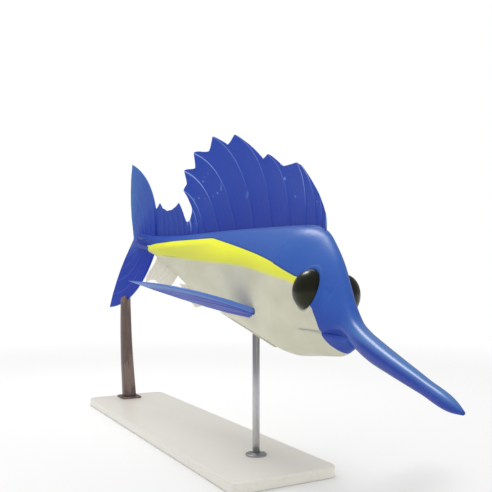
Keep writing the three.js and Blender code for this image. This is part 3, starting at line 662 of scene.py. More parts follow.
@dataclass(frozen=True)
class SkinFinish:
    """Lacquered fish skin: cobalt back, yellow flank band, cream belly, blue tail and bill.

    Fades run in metres of the straight fish: forward from the fork of the tail, up from its middle
    line, or across the edge of a marking. Those of clouds, dots, bars and flecks run over patterns.
    """

    blue: Colour = tint(50, 90, 175)
    # Darker blue: tone, and painted shade low on the back, under the bill, in mouth and gill lines.
    deep: Colour = tint(32, 56, 152)
    # A lighter blue: the painted sheen on the upper back, and the faint dots.
    dots_and_painted_sheen: Colour = tint(68, 114, 186)
    yellow: Colour = tint(240, 243, 56)
    # Ochre: painted shade on the yellow band, and random tone in clouds.
    ochre_and_painted_shade: Colour = tint(205, 207, 84)
    cream: Colour = tint(195, 194, 173)
    # Pearl: a painted highlight low on the belly, and random tone in clouds.
    pearl: Colour = tint(218, 216, 196)
    # The bill's lighter blue, partly a painted sheen.
    bill: Colour = tint(78, 124, 186)
    # Dark blue-grey: the line along the band's top, and painted shade round each eye.
    rim: Colour = tint(40, 66, 92)
    fleck: Colour = (1.0, 1.0, 1.0)

    # The patterns: how many to the metre.
    clouds: Triple = (5.0, 12.0, 12.0)
    flecks: float = 160.0
    dots: Triple = (28.0, 62.0, 62.0)
    bars: float = 11.0
    scales: Triple = (75.0, 290.0, 290.0)

    # The back, the tail and the bill: a painted sheen lighter towards the top of the back,
    # and painted shade darker low on it and under the bill.
    painted_sheen_up: Fade = Fade(0.05, 0.17, 0.45)
    painted_shade_low: Fade = Fade(-0.05, 0.055, 0.9)
    deep_tailward: Fade = Fade(0.05, 0.5, 0.6)
    deep_clouds: Fade = Fade(0.5, 0.85, 0.22)
    bill_start: Fade = Fade(1.70, 1.84)
    bill_share: float = 0.8
    bill_under_shade: Fade = Fade(-0.004, 0.009, 0.95)

    # Rows of faint dots across the back.
    dot_edge: Fade = Fade(0.12, 0.3, 0.3)
    bar_edge: Fade = Fade(0.1, 0.8)
    bars_up: Fade = Fade(0.03, 0.07)
    bars_start: Fade = Fade(0.3, 0.5)
    bars_end: Fade = Fade(1.25, 1.4)

    # The belly and the flank band: a painted highlight lighter low on the belly, and painted
    # shade darker near the band's foot and inward from its top towards the tail.
    pearl_clouds: Fade = Fade(0.35, 0.7, 0.5)
    painted_highlight_low: Fade = Fade(-0.17, -0.06, 0.5)
    band_shade_foot: Fade = Fade(0.004, 0.05, 0.55)
    band_shade_inward: Fade = Fade(0.010, 0.030, 0.75)
    band_shade_tailward: Fade = Fade(0.55, 0.95)
    ochre_clouds: Fade = Fade(0.5, 0.8, 0.25)

    # The edges between them.
    cream_edge: Fade = Fade(-0.0008, 0.0012)
    cream_tail: Fade = Fade(-0.001, 0.002)
    band_edge: Fade = Fade(-0.0008, 0.0010)
    band_foot: Fade = Fade(-0.007, 0.006)
    band_tail: Fade = Fade(-0.001, 0.003)
    line_middle: float = -0.0020
    line_width: float = 0.0030
    line_start: Fade = Fade(0.14, 0.2, 0.75)
    line_end: Fade = Fade(1.46, 1.5)
    # Painted shade: share of the dark ring round each eye.
    eye_shade_share: float = 0.4
    # Painted shade: share of the dark lines in the mouth slit and along the gill opening.
    slit_shade_share: float = 0.3
    fleck_edge: Fade = Fade(0.55, 0.8, 0.015)

    # The lacquer.
    scale_height: float = 0.00022
    scale_strength: float = 0.55
    peel: Relief = Relief(70.0, 1.0, 0.0006, 0.25)
    bill_gloss: Fade = Fade(-0.006, 0.007, 0.5)

    def build(self) -> Material:
        """Paints by the distances that the mesh carries, under the relief of scales and lacquer.

        Returns:
            The material.
        """
        paint = Paint("fish_skin")
        along, _, height = paint.mark("fish")
        below_top, above_foot, below_cream = paint.mark("marks")
        clear_of_tail, eye_shade_ring, slit = paint.mark("zones")
        fish = paint.vector("fish")
        cloud = paint.noise(fish, self.clouds, 4)
        fleck = paint.noise(fish, self.flecks, 2)
        dot = Value(paint, paint.cells(fish, self.dots).outputs["Distance"])
        bar = (along * (2 * math.pi * self.bars)).wave().rise(self.bar_edge)
        on_back = height.rise(self.bars_up) * along.rise(self.bars_start) * along.fall(self.bars_end)
        on_bill = along.rise(self.bill_start)

        back = paint.layers(
            self.blue,
            # Painted sheen: lighter blue towards the top of the back.
            (self.dots_and_painted_sheen, height.rise(self.painted_sheen_up)),
            # Painted shade: darker blue low on the back.
            (self.deep, height.fall(self.painted_shade_low)),
            (self.deep, along.fall(self.deep_tailward)),
            (self.deep, cloud.rise(self.deep_clouds)),
            # The bill's lighter blue, partly a painted sheen.
            (self.bill, on_bill * self.bill_share),
            # Painted shade: darker blue under the bill.
            (self.deep, on_bill * height.fall(self.bill_under_shade)),
            (self.dots_and_painted_sheen, dot.fall(self.dot_edge) * bar * on_back),
        )
        belly = paint.layers(
            self.cream,
            (self.pearl, cloud.rise(self.pearl_clouds)),
            # Painted highlight: the belly lighter low down.
            (self.pearl, height.fall(self.painted_highlight_low)),
        )
        band = paint.layers(
            self.yellow,
            # Painted shade: the band darker near its foot, and inward from its top towards the tail.
            (self.ochre_and_painted_shade, above_foot.fall(self.band_shade_foot)),
            (self.ochre_and_painted_shade, below_top.rise(self.band_shade_inward) * along.fall(self.band_shade_tailward)),
            (self.ochre_and_painted_shade, cloud.rise(self.ochre_clouds)),
        )
        on_cream = below_cream.rise(self.cream_edge)
        on_band = below_top.rise(self.band_edge) * above_foot.rise(self.band_foot)
        line = below_top.bell(self.line_middle, self.line_width)
        colour = paint.layers(
            back,
            (belly, on_cream * clear_of_tail.rise(self.cream_tail)),
            (band, on_band * clear_of_tail.rise(self.band_tail)),
            (self.rim, line * along.rise(self.line_start) * along.fall(self.line_end)),
            # Painted shade: a dark ring round each eye.
            (self.rim, eye_shade_ring * self.eye_shade_share),
            # Painted shade: darker blue in the mouth slit and along the gill opening.
            (self.deep, slit * self.slit_shade_share),
            (self.fleck, fleck.rise(self.fleck_edge)),
        )

        scale = Value(paint, paint.cells(fish, self.scales).outputs["Distance"]) * (1 - on_bill)
        scaled = paint.bump(scale, self.scale_height, self.scale_strength)
        return paint.finish(
            Base_Color=colour,
            Roughness=0.34 + (fleck - NOISE_MIDDLE) * 0.1 + on_cream * 0.05,
            Normal=paint.relief(fish, self.peel, scaled),
            IOR=1.45,
            Specular_IOR_Level=0.11,
            Coat_Weight=0.04 + on_bill * height.rise(self.bill_gloss),
            Coat_Roughness=0.31,
        )


@dataclass(frozen=True)
class FinFinish:
    """Lacquered fin: a membrane with raised rays that catch the light towards their tips,
    with painted highlight lines along them.

    Most fades run along the rays, from 0 at the root to 1 at the edge. Shade is the share of the
    root's colour below the fish's middle line, and front the share of the ray's colour painted as a
    highlight streak by the leading ray, whose fade runs over the rays' numbers.
    """

    name: str
    web: Colour
    root: Colour
    tip: Colour
    # The ray's colour: painted highlights on the rays and by the leading ray, and the pale spots.
    ray: Colour
    # Shine and front are shares of painted highlights: lines on the rays, a streak by the leading ray.
    shine: float = 0.5
    spots: float = 0.0
    shade: float = 0.0
    front: float = 0.0
    ribs: float = 9.0

    clouds: float = 9.0
    root_fade: Fade = Fade(0.0, 0.45, 0.8)
    tip_fade: Fade = Fade(0.55, 1.0, 0.6)
    cloud_edge: Fade = Fade(0.45, 0.75, 0.2)
    shade_edge: Fade = Fade(-0.10, 0.0)
    front_highlight_edge: Fade = Fade(0.25, 1.2)
    highlight_crest: Fade = Fade(0.72, 1.0)
    line_start: Fade = Fade(0.15, 0.7)

    # Spots sit one in a cell of the grid of ray number and reach; few of the cells are chosen.
    spot_grid: Triple = (2.8, 10.0, 0.0)
    spot_edge: Fade = Fade(0.08, 0.24)
    spot_choice: Fade = Fade(0.68, 0.72)
    spot_reach: Span = (0.5, 0.36)

    rib_height: float = 0.00025
    rib_strength: float = 0.1
    peel: Relief = Relief(60.0, 2.0, 0.0007, 0.3)

    def build(self) -> Material:
        """Paints the web from root to tip, painted highlight lines on the rays, and sparse pale spots.

        Returns:
            The material.
        """
        paint = Paint(self.name)
        number, reach, ridge = paint.mark("fin")
        _, height, _ = paint.mark("fish")
        fish = paint.vector("fish")
        cloud = paint.noise(fish, self.clouds, 4)
        line = ridge.rise(self.highlight_crest) * reach.rise(self.line_start)
        coats = [
            (self.root, reach.fall(self.root_fade)),
            (self.tip, reach.rise(self.tip_fade)),
            (self.root, cloud.rise(self.cloud_edge)),
            (self.root, height.fall(self.shade_edge) * self.shade),
            # Painted highlights: a streak by the leading ray, and thin lines along the ray crests.
            (self.ray, number.fall(self.front_highlight_edge) * self.front),
            (self.ray, line * self.shine),
        ]
        if self.spots:
            cell = paint.cells(paint.vector("fin"), self.spot_grid)
            dot = Value(paint, cell.outputs["Distance"])
            chance = paint.node("ShaderNodeSeparateColor", inputs={"Color": cell.outputs["Color"]})
            kept = Value(paint, chance.outputs["Red"]).rise(self.spot_choice)
            kept = kept * reach.bell(*self.spot_reach)
            coats.append((self.ray, dot.fall(self.spot_edge) * kept * self.spots))
        ribs = (number * (2 * math.pi * self.ribs)).wave() * 0.5 + 0.5
        ribbed = paint.bump(ribs, self.rib_height, self.rib_strength)
        return paint.finish(
            Base_Color=paint.layers(self.web, *coats),
            Roughness=0.32 + (cloud - NOISE_MIDDLE) * 0.12 - ridge * 0.06,
            Normal=paint.relief(fish, self.peel, ribbed),
            IOR=1.45,
            Specular_IOR_Level=0.15,
            Coat_Weight=0.07,
            Coat_Roughness=0.22,
        )


@dataclass(frozen=True)
class EyeFinish:
    """A polished glass eye: a black pupil, and a dark bronze iris just inside the edge.

    Fades run over the distance from the eye's axis, which is 1 at its rim.
    """

    pupil: Colour = tint(22, 23, 20)
    iris: Colour = tint(25, 25, 21)
    edge: Colour = tint(16, 18, 22)
    glint: Colour = (0.95, 1.0, 0.55)
    streaks: Triple = (2.0, 30.0, 1.0)
    iris_start: Fade = Fade(0.42, 0.47)
    iris_end: Fade = Fade(0.80, 0.9)
    edge_start: Fade = Fade(0.82, 0.95)

    def build(self) -> Material:
        """Paints rings by the distance from the eye's axis that the mesh carries.

        Returns:
            The material.
        """
        paint = Paint("glass_eye")
        out, _, _ = paint.mark("eye")
        streak = paint.noise(paint.vector("eye"), self.streaks, 4)
        ring = out.rise(self.iris_start) * out.fall(self.iris_end)
        colour = paint.layers(
            self.pupil,
            (self.iris, ring * (streak * 0.5 + 0.4)),
            (self.edge, out.rise(self.edge_start)),
        )
        return paint.finish(Base_Color=colour, Roughness=0.27 + ring * 0.02, IOR=1.5,
                            Specular_IOR_Level=0.3, Specular_Tint=self.glint)


@dataclass(frozen=True)
class LacquerFinish:
    """Sprayed satin lacquer with a faint peel and slightly rubbed edges."""

    colour: Colour = tint(226, 223, 214)
    rubbed: Colour = tint(198, 193, 182)
    clouds: float = 6.0
    cloud_edge: Fade = Fade(0.5, 1.0, 0.12)
    scuffs: Triple = (60.0, 60.0, 120.0)
    scuff_edge: Fade = Fade(0.5, 0.75, 0.3)
    peel: Relief = Relief(420.0, 2.0, 0.00012, 0.5)

    def build(self) -> Material:
        """Paints cloudy lacquer, a little darker where the edge mark is set.

        Returns:
            The material.
        """
        paint = Paint("stand_lacquer")
        edge, _, _ = paint.mark("wear")
        place = paint.place()
        cloud = paint.noise(place, self.clouds, 5)
        scuff = paint.noise(place, self.scuffs, 3)
        colour = paint.layers(
            self.colour,
            (self.rubbed, cloud.rise(self.cloud_edge)),
            (self.rubbed, edge * scuff.rise(self.scuff_edge)),
        )
        return paint.finish(Base_Color=colour, Roughness=0.34 + (cloud - NOISE_MIDDLE) * 0.16,
                            Normal=paint.relief(place, self.peel), Coat_Weight=0.2, Coat_Roughness=0.2)


@dataclass(frozen=True)
class SteelFinish:
    """Brushed steel, drawn along the height of the rod."""

    colour: Colour = (0.56, 0.565, 0.58)
    drawn: Colour = (0.44, 0.445, 0.46)
    strokes: Triple = (900.0, 900.0, 14.0)
    stroke_edge: Fade = Fade(0.35, 0.75, 0.5)
    smears: float = 25.0
    stroke_height: float = 0.00008

    def build(self) -> Material:
        """Paints fine strokes into roughness, bump and a little of the colour.

        Returns:
            The material.
        """
        paint = Paint("stand_steel")
        place = paint.place()
        stroke = paint.noise(place, self.strokes, 3)
        smear = paint.noise(place, self.smears, 4)
        return paint.finish(
            Base_Color=paint.blend(self.colour, self.drawn, stroke.rise(self.stroke_edge)),
            Metallic=1.0,
            Roughness=0.22 + stroke * 0.16 + smear * 0.08,
            Normal=paint.bump(stroke, self.stroke_height, 0.5),
        )


@dataclass(frozen=True)
class WoodFinish:
    """Oiled brown wood with its grain running up the rod."""

    light: Colour = tint(124, 104, 98)
    dark: Colour = tint(84, 66, 62)
    drift: Triple = (26.0, 26.0, 3.0)
    waver: Triple = (160.0, 160.0, 9.0)
    pores: Triple = (900.0, 900.0, 30.0)
    rings: float = 26.0
    ring_edge: Fade = Fade(-0.6, 0.9, 0.75)
    pore_edge: Fade = Fade(0.55, 0.75, 0.6)
    grain_height: float = 0.00025

    def build(self) -> Material:
        """Paints drawn-out growth rings, pores and a satin oil finish.

        Returns:
            The material.
        """
        paint = Paint("stand_wood")
        place = paint.place()
        drift = paint.noise(place, self.drift, 4)
        waver = paint.noise(place, self.waver, 3)
        pore = paint.noise(place, self.pores, 2)
        ring = (drift * self.rings + waver * 2).wave()
        colour = paint.layers(
            self.light,
            (self.dark, ring.rise(self.ring_edge)),
            (self.dark, pore.rise(self.pore_edge)),
        )
        height = ring * 0.2 + pore.fall(self.pore_edge)
        return paint.finish(Base_Color=colour, Roughness=0.42 + pore * 0.18,
                            Normal=paint.bump(height, self.grain_height, 0.6),
                            Coat_Weight=0.12, Coat_Roughness=0.3)


def dress(piece: Piece, material: Material, slot: str, *nodes: str) -> None:
    """Gives a piece its material and its place in the frame, and logs it.

    Args:
        piece: The piece.
        material: Its finish.
        slot: The record's material slot; not used.
        nodes: The solids that it stands for.
    """
    piece.data.materials.append(material)
    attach(piece, "root")
    if nodes:
        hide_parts(*nodes)
    faces, parts = len(piece.data.polygons), ", ".join(nodes) or "itself"
    LOG.info("%s: %d faces, for %s", piece.name, faces, parts)


@dataclass(frozen=True)
class Eye:
    """Where an eye sits in the head, and its flattened ball."""

    at: float = 1543.0
    height: float = 41.0
    radius: float = 47.0
    bulge: float = 36.0
    depth: float = 7.0
    forward: float = 18 * DEG
    up: float = 11 * DEG
    rings: int = 66
    sides: int = 96

    def axis(self, side: Side) -> Array:
        """Unit vector out of the eye in the straight fish, as s, v and w."""
        out = np.array([
            math.sin(self.forward), side.value * math.cos(self.forward) * math.cos(self.up),
            math.sin(self.up),
        ])
        return unit(out)

    def level(self, points: Array, middle: Array, side: Side) -> Array:
        """How far points lie from the ball: 1 on its surface, less inside.

        The share of the radius across the axis and the share of the bulge along it, squared, summed
        and rooted.

        Args:
            points: Points of the straight fish.
            middle: The skin's point over the eye's middle.
            side: Which eye.

        Returns:
            The level at each point.
        """
        axis = self.axis(side)
        away = points - middle
        along = away @ axis
        across = np.sqrt(np.maximum((away**2).sum(-1) - along**2, 0))
        return np.hypot(across / self.radius, (along + self.depth) / self.bulge)


@dataclass
class Body:
    """The fish's flesh as one closed skin, from the tail stalk to the tip of the bill."""

    back: Curve = Curve(
        (-30, 16), (-20, 27), (0, 33), (40, 34), (88, 34), (175, 38), (350, 54), (525, 78), (700, 101),
        (875, 122), (1050, 142), (1225, 162), (1340, 174), (1415, 177), (1470, 169), (1520, 153),
        (1580, 127), (1640, 90), (1690, 58), (1750, 32),
    )
    belly: Curve = Curve(
        (-30, -16), (-20, -27), (0, -35), (40, -37), (88, -39), (175, -50), (350, -88), (525, -131),
        (700, -161), (875, -174), (1050, -176), (1225, -170), (1365, -157), (1435, -143),
        (1496, -125), (1566, -104), (1627, -86), (1680, -70), (1750, -47),
    )
    side: Curve = Curve(
        (-30, 6), (-20, 12), (0, 17), (40, 20), (88, 23), (175, 30), (350, 46), (525, 63), (700, 77),
        (875, 87), (1050, 93), (1225, 93), (1365, 85), (1435, 74), (1496, 62), (1566, 50),
        (1627, 39), (1680, 30), (1750, 21),
    )
    # Upper edge, lower edge and half width of the bill.
    bill: Curve = Curve(
        (1640, 88, -30, 30), (1700, 49, -21, 22), (1750, 27, -23, 20), (1800, 19, -28, 20),
        (1860, 15.5, -29, 20), (1930, 13, -25, 18), (2050, 10, -17, 12.5), (2140, 7, -10.5, 8),
        (2163, 2.2, -4, 3),
    )
    stalk_end: float = -30.0
    bill_tip: float = 2163.0
    bill_blend: Span = (1640, 1750)
    bill_start: float = -35 * DEG
    trunk_round: float = 2.15
    nape_round: float = 1.55
    nape: Span = (1340, 1500)
    head: tuple[Span, Span] = ((1380, 1480), (1760, 1800))
    flank_angles: tuple[Span, Span] = ((-46 * DEG, -34 * DEG), (38 * DEG, 52 * DEG))

    mouth_corner: float = 1530.0
    mouth_tip: float = 1750.0
    mouth_end: Span = (1741, 1753)
    mouth_share: float = 0.49
    mouth_share_tip: float = 0.3
    jaw_close: Span = (1690, 1752)
    # How far the columns are drawn along with the mouth's line above it.
    mouth_pull: float = 30 * DEG
    slit_depth: float = 2.6
    slit_width: float = 1.7
    # Half width of the painted shade line in the mouth slit.
    slit_shade_width: float = 1.4
    # Height of the lips, distance from the slit and half width.
    lips: Triple = (0.5, 6.5, 3.6)
    # Depth and half width of the fold at the mouth's corner, its slope, and where it ends.
    crease_depth: float = 1.6
    crease_width: float = 3.4
    crease_slope: float = 0.45
    crease_end: Span = (1545, 1575)

    gill_opening: float = 1335.0
    gill_back: float = 62.0
    gill_throat: float = 105.0
    warp_start: float = 1200.0
    warp_end: float = 1485.0
    gill_length: float = 100.0
    gill_lift: float = 5.0
    gill_low: float = -64 * DEG
    gill_high: float = 34 * DEG
    gill_step: float = 1.4
    gill_fullness: float = 0.8
    # Depth of the groove behind the gill opening, distance ahead of the opening and half width.
    gill_groove: Triple = (2.2, -3.6, 2.3)
    # Place and half width of the painted shade line along the gill opening.
    gill_shade_line: Span = (-3.0, 2.6)
    # Depth and half width of the cheek plate's seam, its least distance ahead and how far it sweeps.
    seam: tuple[float, float, float, float] = (1.0, 3.2, 50.0, 34.0)
    seam_middle: float = -12 * DEG
    seam_half: float = 44 * DEG
    seam_angles: Span = (-14 * DEG, 36 * DEG)
    # Height of the folds under the throat, and how fast their cosine runs with the angle.
    fold_height: float = 0.8
    fold_count: float = 52.0
    fold_angles: tuple[Span, Span] = ((52 * DEG, 62 * DEG), (80 * DEG, 88 * DEG))
    fold_places: tuple[Span, Span] = ((14, 50), (120, 210))

    # The ring of skin round an eye and the hollow outside it: height, level and width of each.
    eye_ring: Triple = (2.6, 1.1, 0.075)
    eye_hollow: Triple = (-0.5, 1.3, 0.12)
    eye_sunk: float = 9.0
    eye_sinks: Span = (0.8, 0.985)
    # Level and width of the ring of painted shade round each eye.
    eye_shade_ring: Span = (1.03, 0.05)
    # Each is its place, height, half width and depth.
    nostrils: tuple[tuple[float, ...], ...] = ((1632.0, 52.0, 9.0, 2.6), (1614.0, 56.0, 7.0, 2.0))
    # Height of a nostril's rim, and its distance and width as shares of the pit's width.
    nostril_rim: Triple = (0.3, 1.9, 0.7)

    keel_height: float = 11.0
    keel_fullness: float = 0.7
    keel_width: float = 3.8
    keel_from: float = 5.0
    keel_to: float = 150.0
    keel_spread: float = 13.0
    bed_height: float = 2.4
    bed_width: float = 7.0
    # Where the bed of each fin on the back, and then on the belly, rises and where it sinks away.
    back_beds: tuple[tuple[Span, Span], ...] = (((425, 450), (1395, 1450)), ((160, 180), (392, 408)))
    belly_beds: tuple[tuple[Span, Span], ...] = (((480, 500), (668, 690)), ((165, 185), (385, 402)))

    # Height of the yellow band's edges and of the cream belly's edge on the flank.
    band_top: Curve = Curve(
        (100, -14), (135, -10), (205, 4), (298, 18), (390, 32), (492, 44), (584, 55), (670, 65),
        (725, 70.5), (742, 71.5), (760, 70.8), (838, 68.5), (1043, 65.5), (1215, 65), (1355, 62),
        (1409, 58), (1457, 55), (1510, 52), (1530, 40),
    )
    band_low: Curve = Curve(
        (100, -42), (132, -34), (197, -42), (316, -36), (433, -28), (646, -16), (819, -4), (999, 11),
        (1092, 18), (1254, 27), (1319, 31), (1422, 38), (1510, 48), (1530, 60),
    )
    cream_top: Curve = Curve(
        (100, -30), (220, -36), (670, -6), (1105, 26), (1317, 42), (1460, 50), (1540, 30), (1573, 15),
        (1603, -4), (1622, -17), (1639, -31), (1656, -41), (1678, -47), (1705, -49), (1730, -52),
        (1745, -58), (1800, -64), (2200, -64),
    )
    tail_edge: float = 137.0
    tail_lean: float = 0.8

    eye: Eye = Eye()
    rows: int = 486
    columns: int = 196

    def __post_init__(self) -> None:
        """Takes the eyes' seats from the head's own width."""
        flank = self.flank(self.eye.at, self.eye.height)
        self.seats = {side: np.array([self.eye.at, side.value * flank, self.eye.height])
                      for side in Side}

    def upper_round(self, s: Array) -> Array:
        """Exponent of the upper half's superellipse, lower on the nape than on the trunk."""
        return mix(self.trunk_round, self.nape_round, ease(s, *self.nape))

    def flank(self, s: float, w: float) -> float:
        """Half width of the upper body at a height: the superellipse solved for v."""
        power = self.upper_round(s)
        return float(self.side(s) * (1 - abs(w / self.back(s)) ** power) ** (1 / power))

    def stations(self) -> Array:
        """Places of the rings, closest at the gill opening, the mouth, the jaw tip and both ends.

        Returns:
            The places, rising.
        """
        crowds = (
            (7.0, self.gill_opening, 7), (1.3, self.gill_opening + 50, 60), (3.5, self.mouth_tip, 14),
            (4.0, self.bill_tip, 14), (2.0, self.stalk_end, 20),
        )

        def density(s: Array) -> Array:
            """One, with two more over the head and a bell at each crowd."""
            return 1.0 + 2.0 * window(s, *self.head) + crowd(s, crowds)

        return spread(self.stalk_end, self.bill_tip, density, self.rows)

    def angles(self) -> Array:
        """Angles round the section, closest on the flank, along the mouth, the back and the belly.

        Returns:
            The angles, rising from straight down.
        """
        crowds = (
            (6.0, -self.corner(np.array(0.0)), 2.6 * DEG), (1.6, 90 * DEG, 5 * DEG),
            (1.6, -90 * DEG, 5 * DEG),
        )

        def density(a: Array) -> Array:
            """One, with more over the flank and a bell at each crowd, alike on both sides."""
            folded = np.where(a > 90 * DEG, 180 * DEG - a, a)
            return 1.0 + 1.5 * window(folded, *self.flank_angles) + crowd(folded, crowds)

        return spread(-90 * DEG, 270 * DEG, density, self.columns + 1)[:-1]

    def corner(self, s: Array) -> Array:
        """Angle below the flank at which the mouth line runs: its share of the belly's depth."""
        t = np.clip((s - self.mouth_corner) / (self.mouth_tip - self.mouth_corner), 0, 1)
        return np.arcsin(mix(self.mouth_share, self.mouth_share_tip, t) ** (self.trunk_round / 2))

    def leaning(self, s: Array, a: Array) -> Array:
        """Rings near the gill opening lean forward towards the nape and the throat.

        The lean is the square of the angle's sine times a reach, fading on both sides of the opening.

        Args:
            s: The rings' own places.
            a: Angles round the section.

        Returns:
            The place of each point.
        """
        behind = ease(s, self.warp_start, self.gill_opening)
        ahead = 1 - np.clip((s - self.gill_opening) / (self.warp_end - self.gill_opening), 0, 1)
        lean = np.where(s < self.gill_opening, behind, ahead) * np.sin(a) ** 2
        return s + lean * np.where(np.sin(a) > 0, self.gill_back, self.gill_throat)

    def section(self, s: Array, a: Array) -> tuple[Array, Array]:
        """Superellipse section: cosine and sine of the angle, each to two over the exponent.

        Args:
            s: Place along the spine.
            a: Angle from the fish's left.

        Returns:
            The distances to the left and up.
        """
        c, d = np.cos(a), np.sin(a)
        power = 2 / np.where(d > 0, self.upper_round(s), self.trunk_round)
        reach = np.where(d >= 0, self.back(s), -self.belly(s))
        return self.side(s) * signed_power(c, power), reach * signed_power(d, power)

    def shape(self) -> tuple[Array, Array, Array, Array]:
        """Works out the plain body before its finer forms are raised on it.

        The trunk's section turns into the round bill in front of the mouth, and the lower jaw closes
        under it along a quarter ellipse.

        Returns:
            The points of the straight fish, the rings' own places, the angles folded to the left
            side, and the signed distance above the mouth line.
        """
        # Columns below the mouth stay below it, and those just above are drawn along with it.
        ring = self.stations()[:, None]
        base = self.angles()[None, :]
        right = base > 90 * DEG
        folded = np.where(right, 180 * DEG - base, base)
        back_corner = self.corner(np.array(0.0))
        s = self.leaning(ring, base)
        corner = self.corner(s)
        lower = mix(-90 * DEG, -corner, (folded + 90 * DEG) / (90 * DEG - back_corner))
        level = self.mouth_pull
        upper = mix(-corner, level, (folded + back_corner) / (level + back_corner))
        folded = np.where(folded < -back_corner, lower, np.where(folded < level, upper, folded))
        a = np.where(right, 180 * DEG - folded, folded)
        v, w = self.section(s, a)

        # The bill's section is an ellipse, which both halves reach from a line low on its side.
        above = folded >= -corner
        share_up = (folded + corner) / (90 * DEG + corner)
        share_low = (folded + corner) / (corner - 90 * DEG)
        turn = np.where(above, mix(self.bill_start, 90 * DEG, share_up),
                        mix(self.bill_start, -90 * DEG, share_low))
        top, bottom, wide = (self.bill(s, k) for k in range(3))
        hand = np.where(right, -1.0, 1.0)
        bill_v = hand * wide * np.cos(turn)
        bill_w = (top + bottom) / 2 + (top - bottom) / 2 * np.sin(turn)
        t = ease(s, *self.bill_blend)
        # What lies below the mouth closes against the roof of the mouth.
        edge_v, edge_w = self.section(s, -corner)
        roof_v = np.where(above, v, hand * edge_v * (1 - share_low))
        roof_w = np.where(above, w, edge_w)
        roof_v, roof_w = mix(roof_v, bill_v, t), mix(roof_w, bill_w, t)
        start, end = self.jaw_close
        close = np.sqrt(1 - np.clip((s - start) / (end - start), 0, 1) ** 2)
        keep = np.where(above, 0.0, close)
        v, w = mix(roof_v, v, keep), mix(roof_w, w, keep)
        mouth = (folded + corner) * np.hypot(v, w)
        return np.stack([s, v, w], -1), ring, folded, mouth

    @staticmethod
    def outward(points: Array) -> Array:
        """Unit normals of a wrapped grid, from the differences of its neighbours.

        Args:
            points: Rings of points of the straight fish.

        Returns:
            The normals, pointing away from the spine.
        """
        along = np.gradient(points, axis=0)
        around = (np.roll(points, -1, axis=1) - np.roll(points, 1, axis=1)) / 2
        normal = unit(np.cross(along, around))
        radial = points * np.array([0.0, 1.0, 1.0])
        sign = np.sign((normal * radial).sum(-1).mean())
        return normal * sign

    def mouth_form(self, points: Array, mouth: Array) -> Array:
        """The mouth line: a narrow bell cut between two low, wide lips, and a fold at its corner.

        Args:
            points: Points of the straight fish.
            mouth: Signed distance above the mouth line.

        Returns:
            The height to raise at each point.
        """
        s = points[..., 0]
        corner = self.mouth_corner
        lips = crowd(np.abs(mouth), [self.lips])
        slit = self.slit_depth * bell(mouth, 0, self.slit_width)
        fold = window(s, (corner - 30, corner), self.crease_end)
        sloped = mouth + (s - corner) * self.crease_slope
        crease = self.crease_depth * bell(sloped, 0, self.crease_width)
        return window(s, (corner - 8, corner + 14), self.mouth_end) * (lips - slit) - crease * fold

    def gill_reach(self, folded: Array) -> Array:
        """How far the gill cover stands out at each angle: fading at the throat and the nape."""
        low, high = self.gill_low, self.gill_high
        return window(folded, (low - 14 * DEG, low + 6 * DEG), (high - 8 * DEG, high + 10 * DEG))

    def gill_form(self, ring: Array, folded: Array) -> Array:
        """The gill cover: raised towards its rear edge, with a sharp step and a groove behind.

        Inside it run the curved seam of the cheek plate and, under the throat, a few soft folds: a
        bell over a square of the angle, and a cosine of the angle.

        Args:
            ring: The rings' own places.
            folded: Angles folded to the left side.

        Returns:
            The height to raise at each point.
        """
        ahead = ring - self.gill_opening
        lift = self.gill_lift * (1 - np.clip(ahead / self.gill_length, 0, 1)) ** self.gill_fullness
        cover = lift * ease(ahead, -self.gill_step, self.gill_step) - crowd(ahead, [self.gill_groove])
        depth, half, least, sweep = self.seam
        seam_at = least + sweep * ((folded - self.seam_middle) / self.seam_half) ** 2
        seam = depth * bell(ahead, seam_at, half) * bell(folded, *self.seam_angles)
        throat = window(-folded, *self.fold_angles) * window(ahead, *self.fold_places)
        folds = self.fold_height * np.cos(folded * self.fold_count) * throat
        return cover * self.gill_reach(folded) - seam + folds

    def socket_form(self, points: Array) -> Array:
        """A soft ring of skin raised round each eye, sinking away under the ball.

        Args:
            points: Points of the straight fish.

        Returns:
            The height to raise at each point.
        """
        form = np.zeros(points.shape[:2])
        for side in Side:
            level = self.eye.level(points, self.seats[side], side)
            ring = crowd(level, (self.eye_ring, self.eye_hollow))
            sunk = self.eye_sunk * (1 - ease(level, *self.eye_sinks))
            form += np.where(points[..., 1] * side.value > 0, ring - sunk, 0)
        return form

    def nostril_form(self, points: Array) -> Array:
        """Two small pits on each side, each a bell of its own width and depth with a faint rim.

        Args:
            points: Points of the straight fish.

        Returns:
            The height to raise at each point.
        """
        form = np.zeros(points.shape[:2])
        rim, rim_away, rim_width = self.nostril_rim
        for side in Side:
            for at, height, width, depth in self.nostrils:
                seat = np.array([at, side.value * self.flank(at, height), height])
                away = np.linalg.norm(points - seat, axis=-1)
                form += rim * bell(away, width * rim_away, width * rim_width)
                form -= depth * bell(away, 0, width)
        return form

    def keel_form(self, points: Array) -> Array:
        """Two ridges along each side of the tail stalk, swelling as a flattened half sine.

        Args:
            points: Points of the straight fish.

        Returns:
            The height to raise at each point.
        """
        s, _, w = np.moveaxis(points, -1, 0)
        t = np.clip((s - self.keel_from) / (self.keel_to - self.keel_from), 0, 1)
        swell = self.keel_height * np.sin(np.pi * t) ** self.keel_fullness
        return swell * bell(np.abs(w), self.keel_spread, self.keel_width)

    def fin_bed_form(self, points: Array, folded: Array) -> Array:
        """A low fleshy ridge along the root of each middle fin: a bell across the fish.

        Args:
            points: Points of the straight fish.
            folded: Angles folded to the left side.

        Returns:
            The height to raise at each point.
        """
        s, v, _ = np.moveaxis(points, -1, 0)
        above, below = (sum(window(s, *bed) for bed in beds)
                        for beds in (self.back_beds, self.belly_beds))
        return self.bed_height * bell(v, 0, self.bed_width) * np.where(folded > 0, above, below)

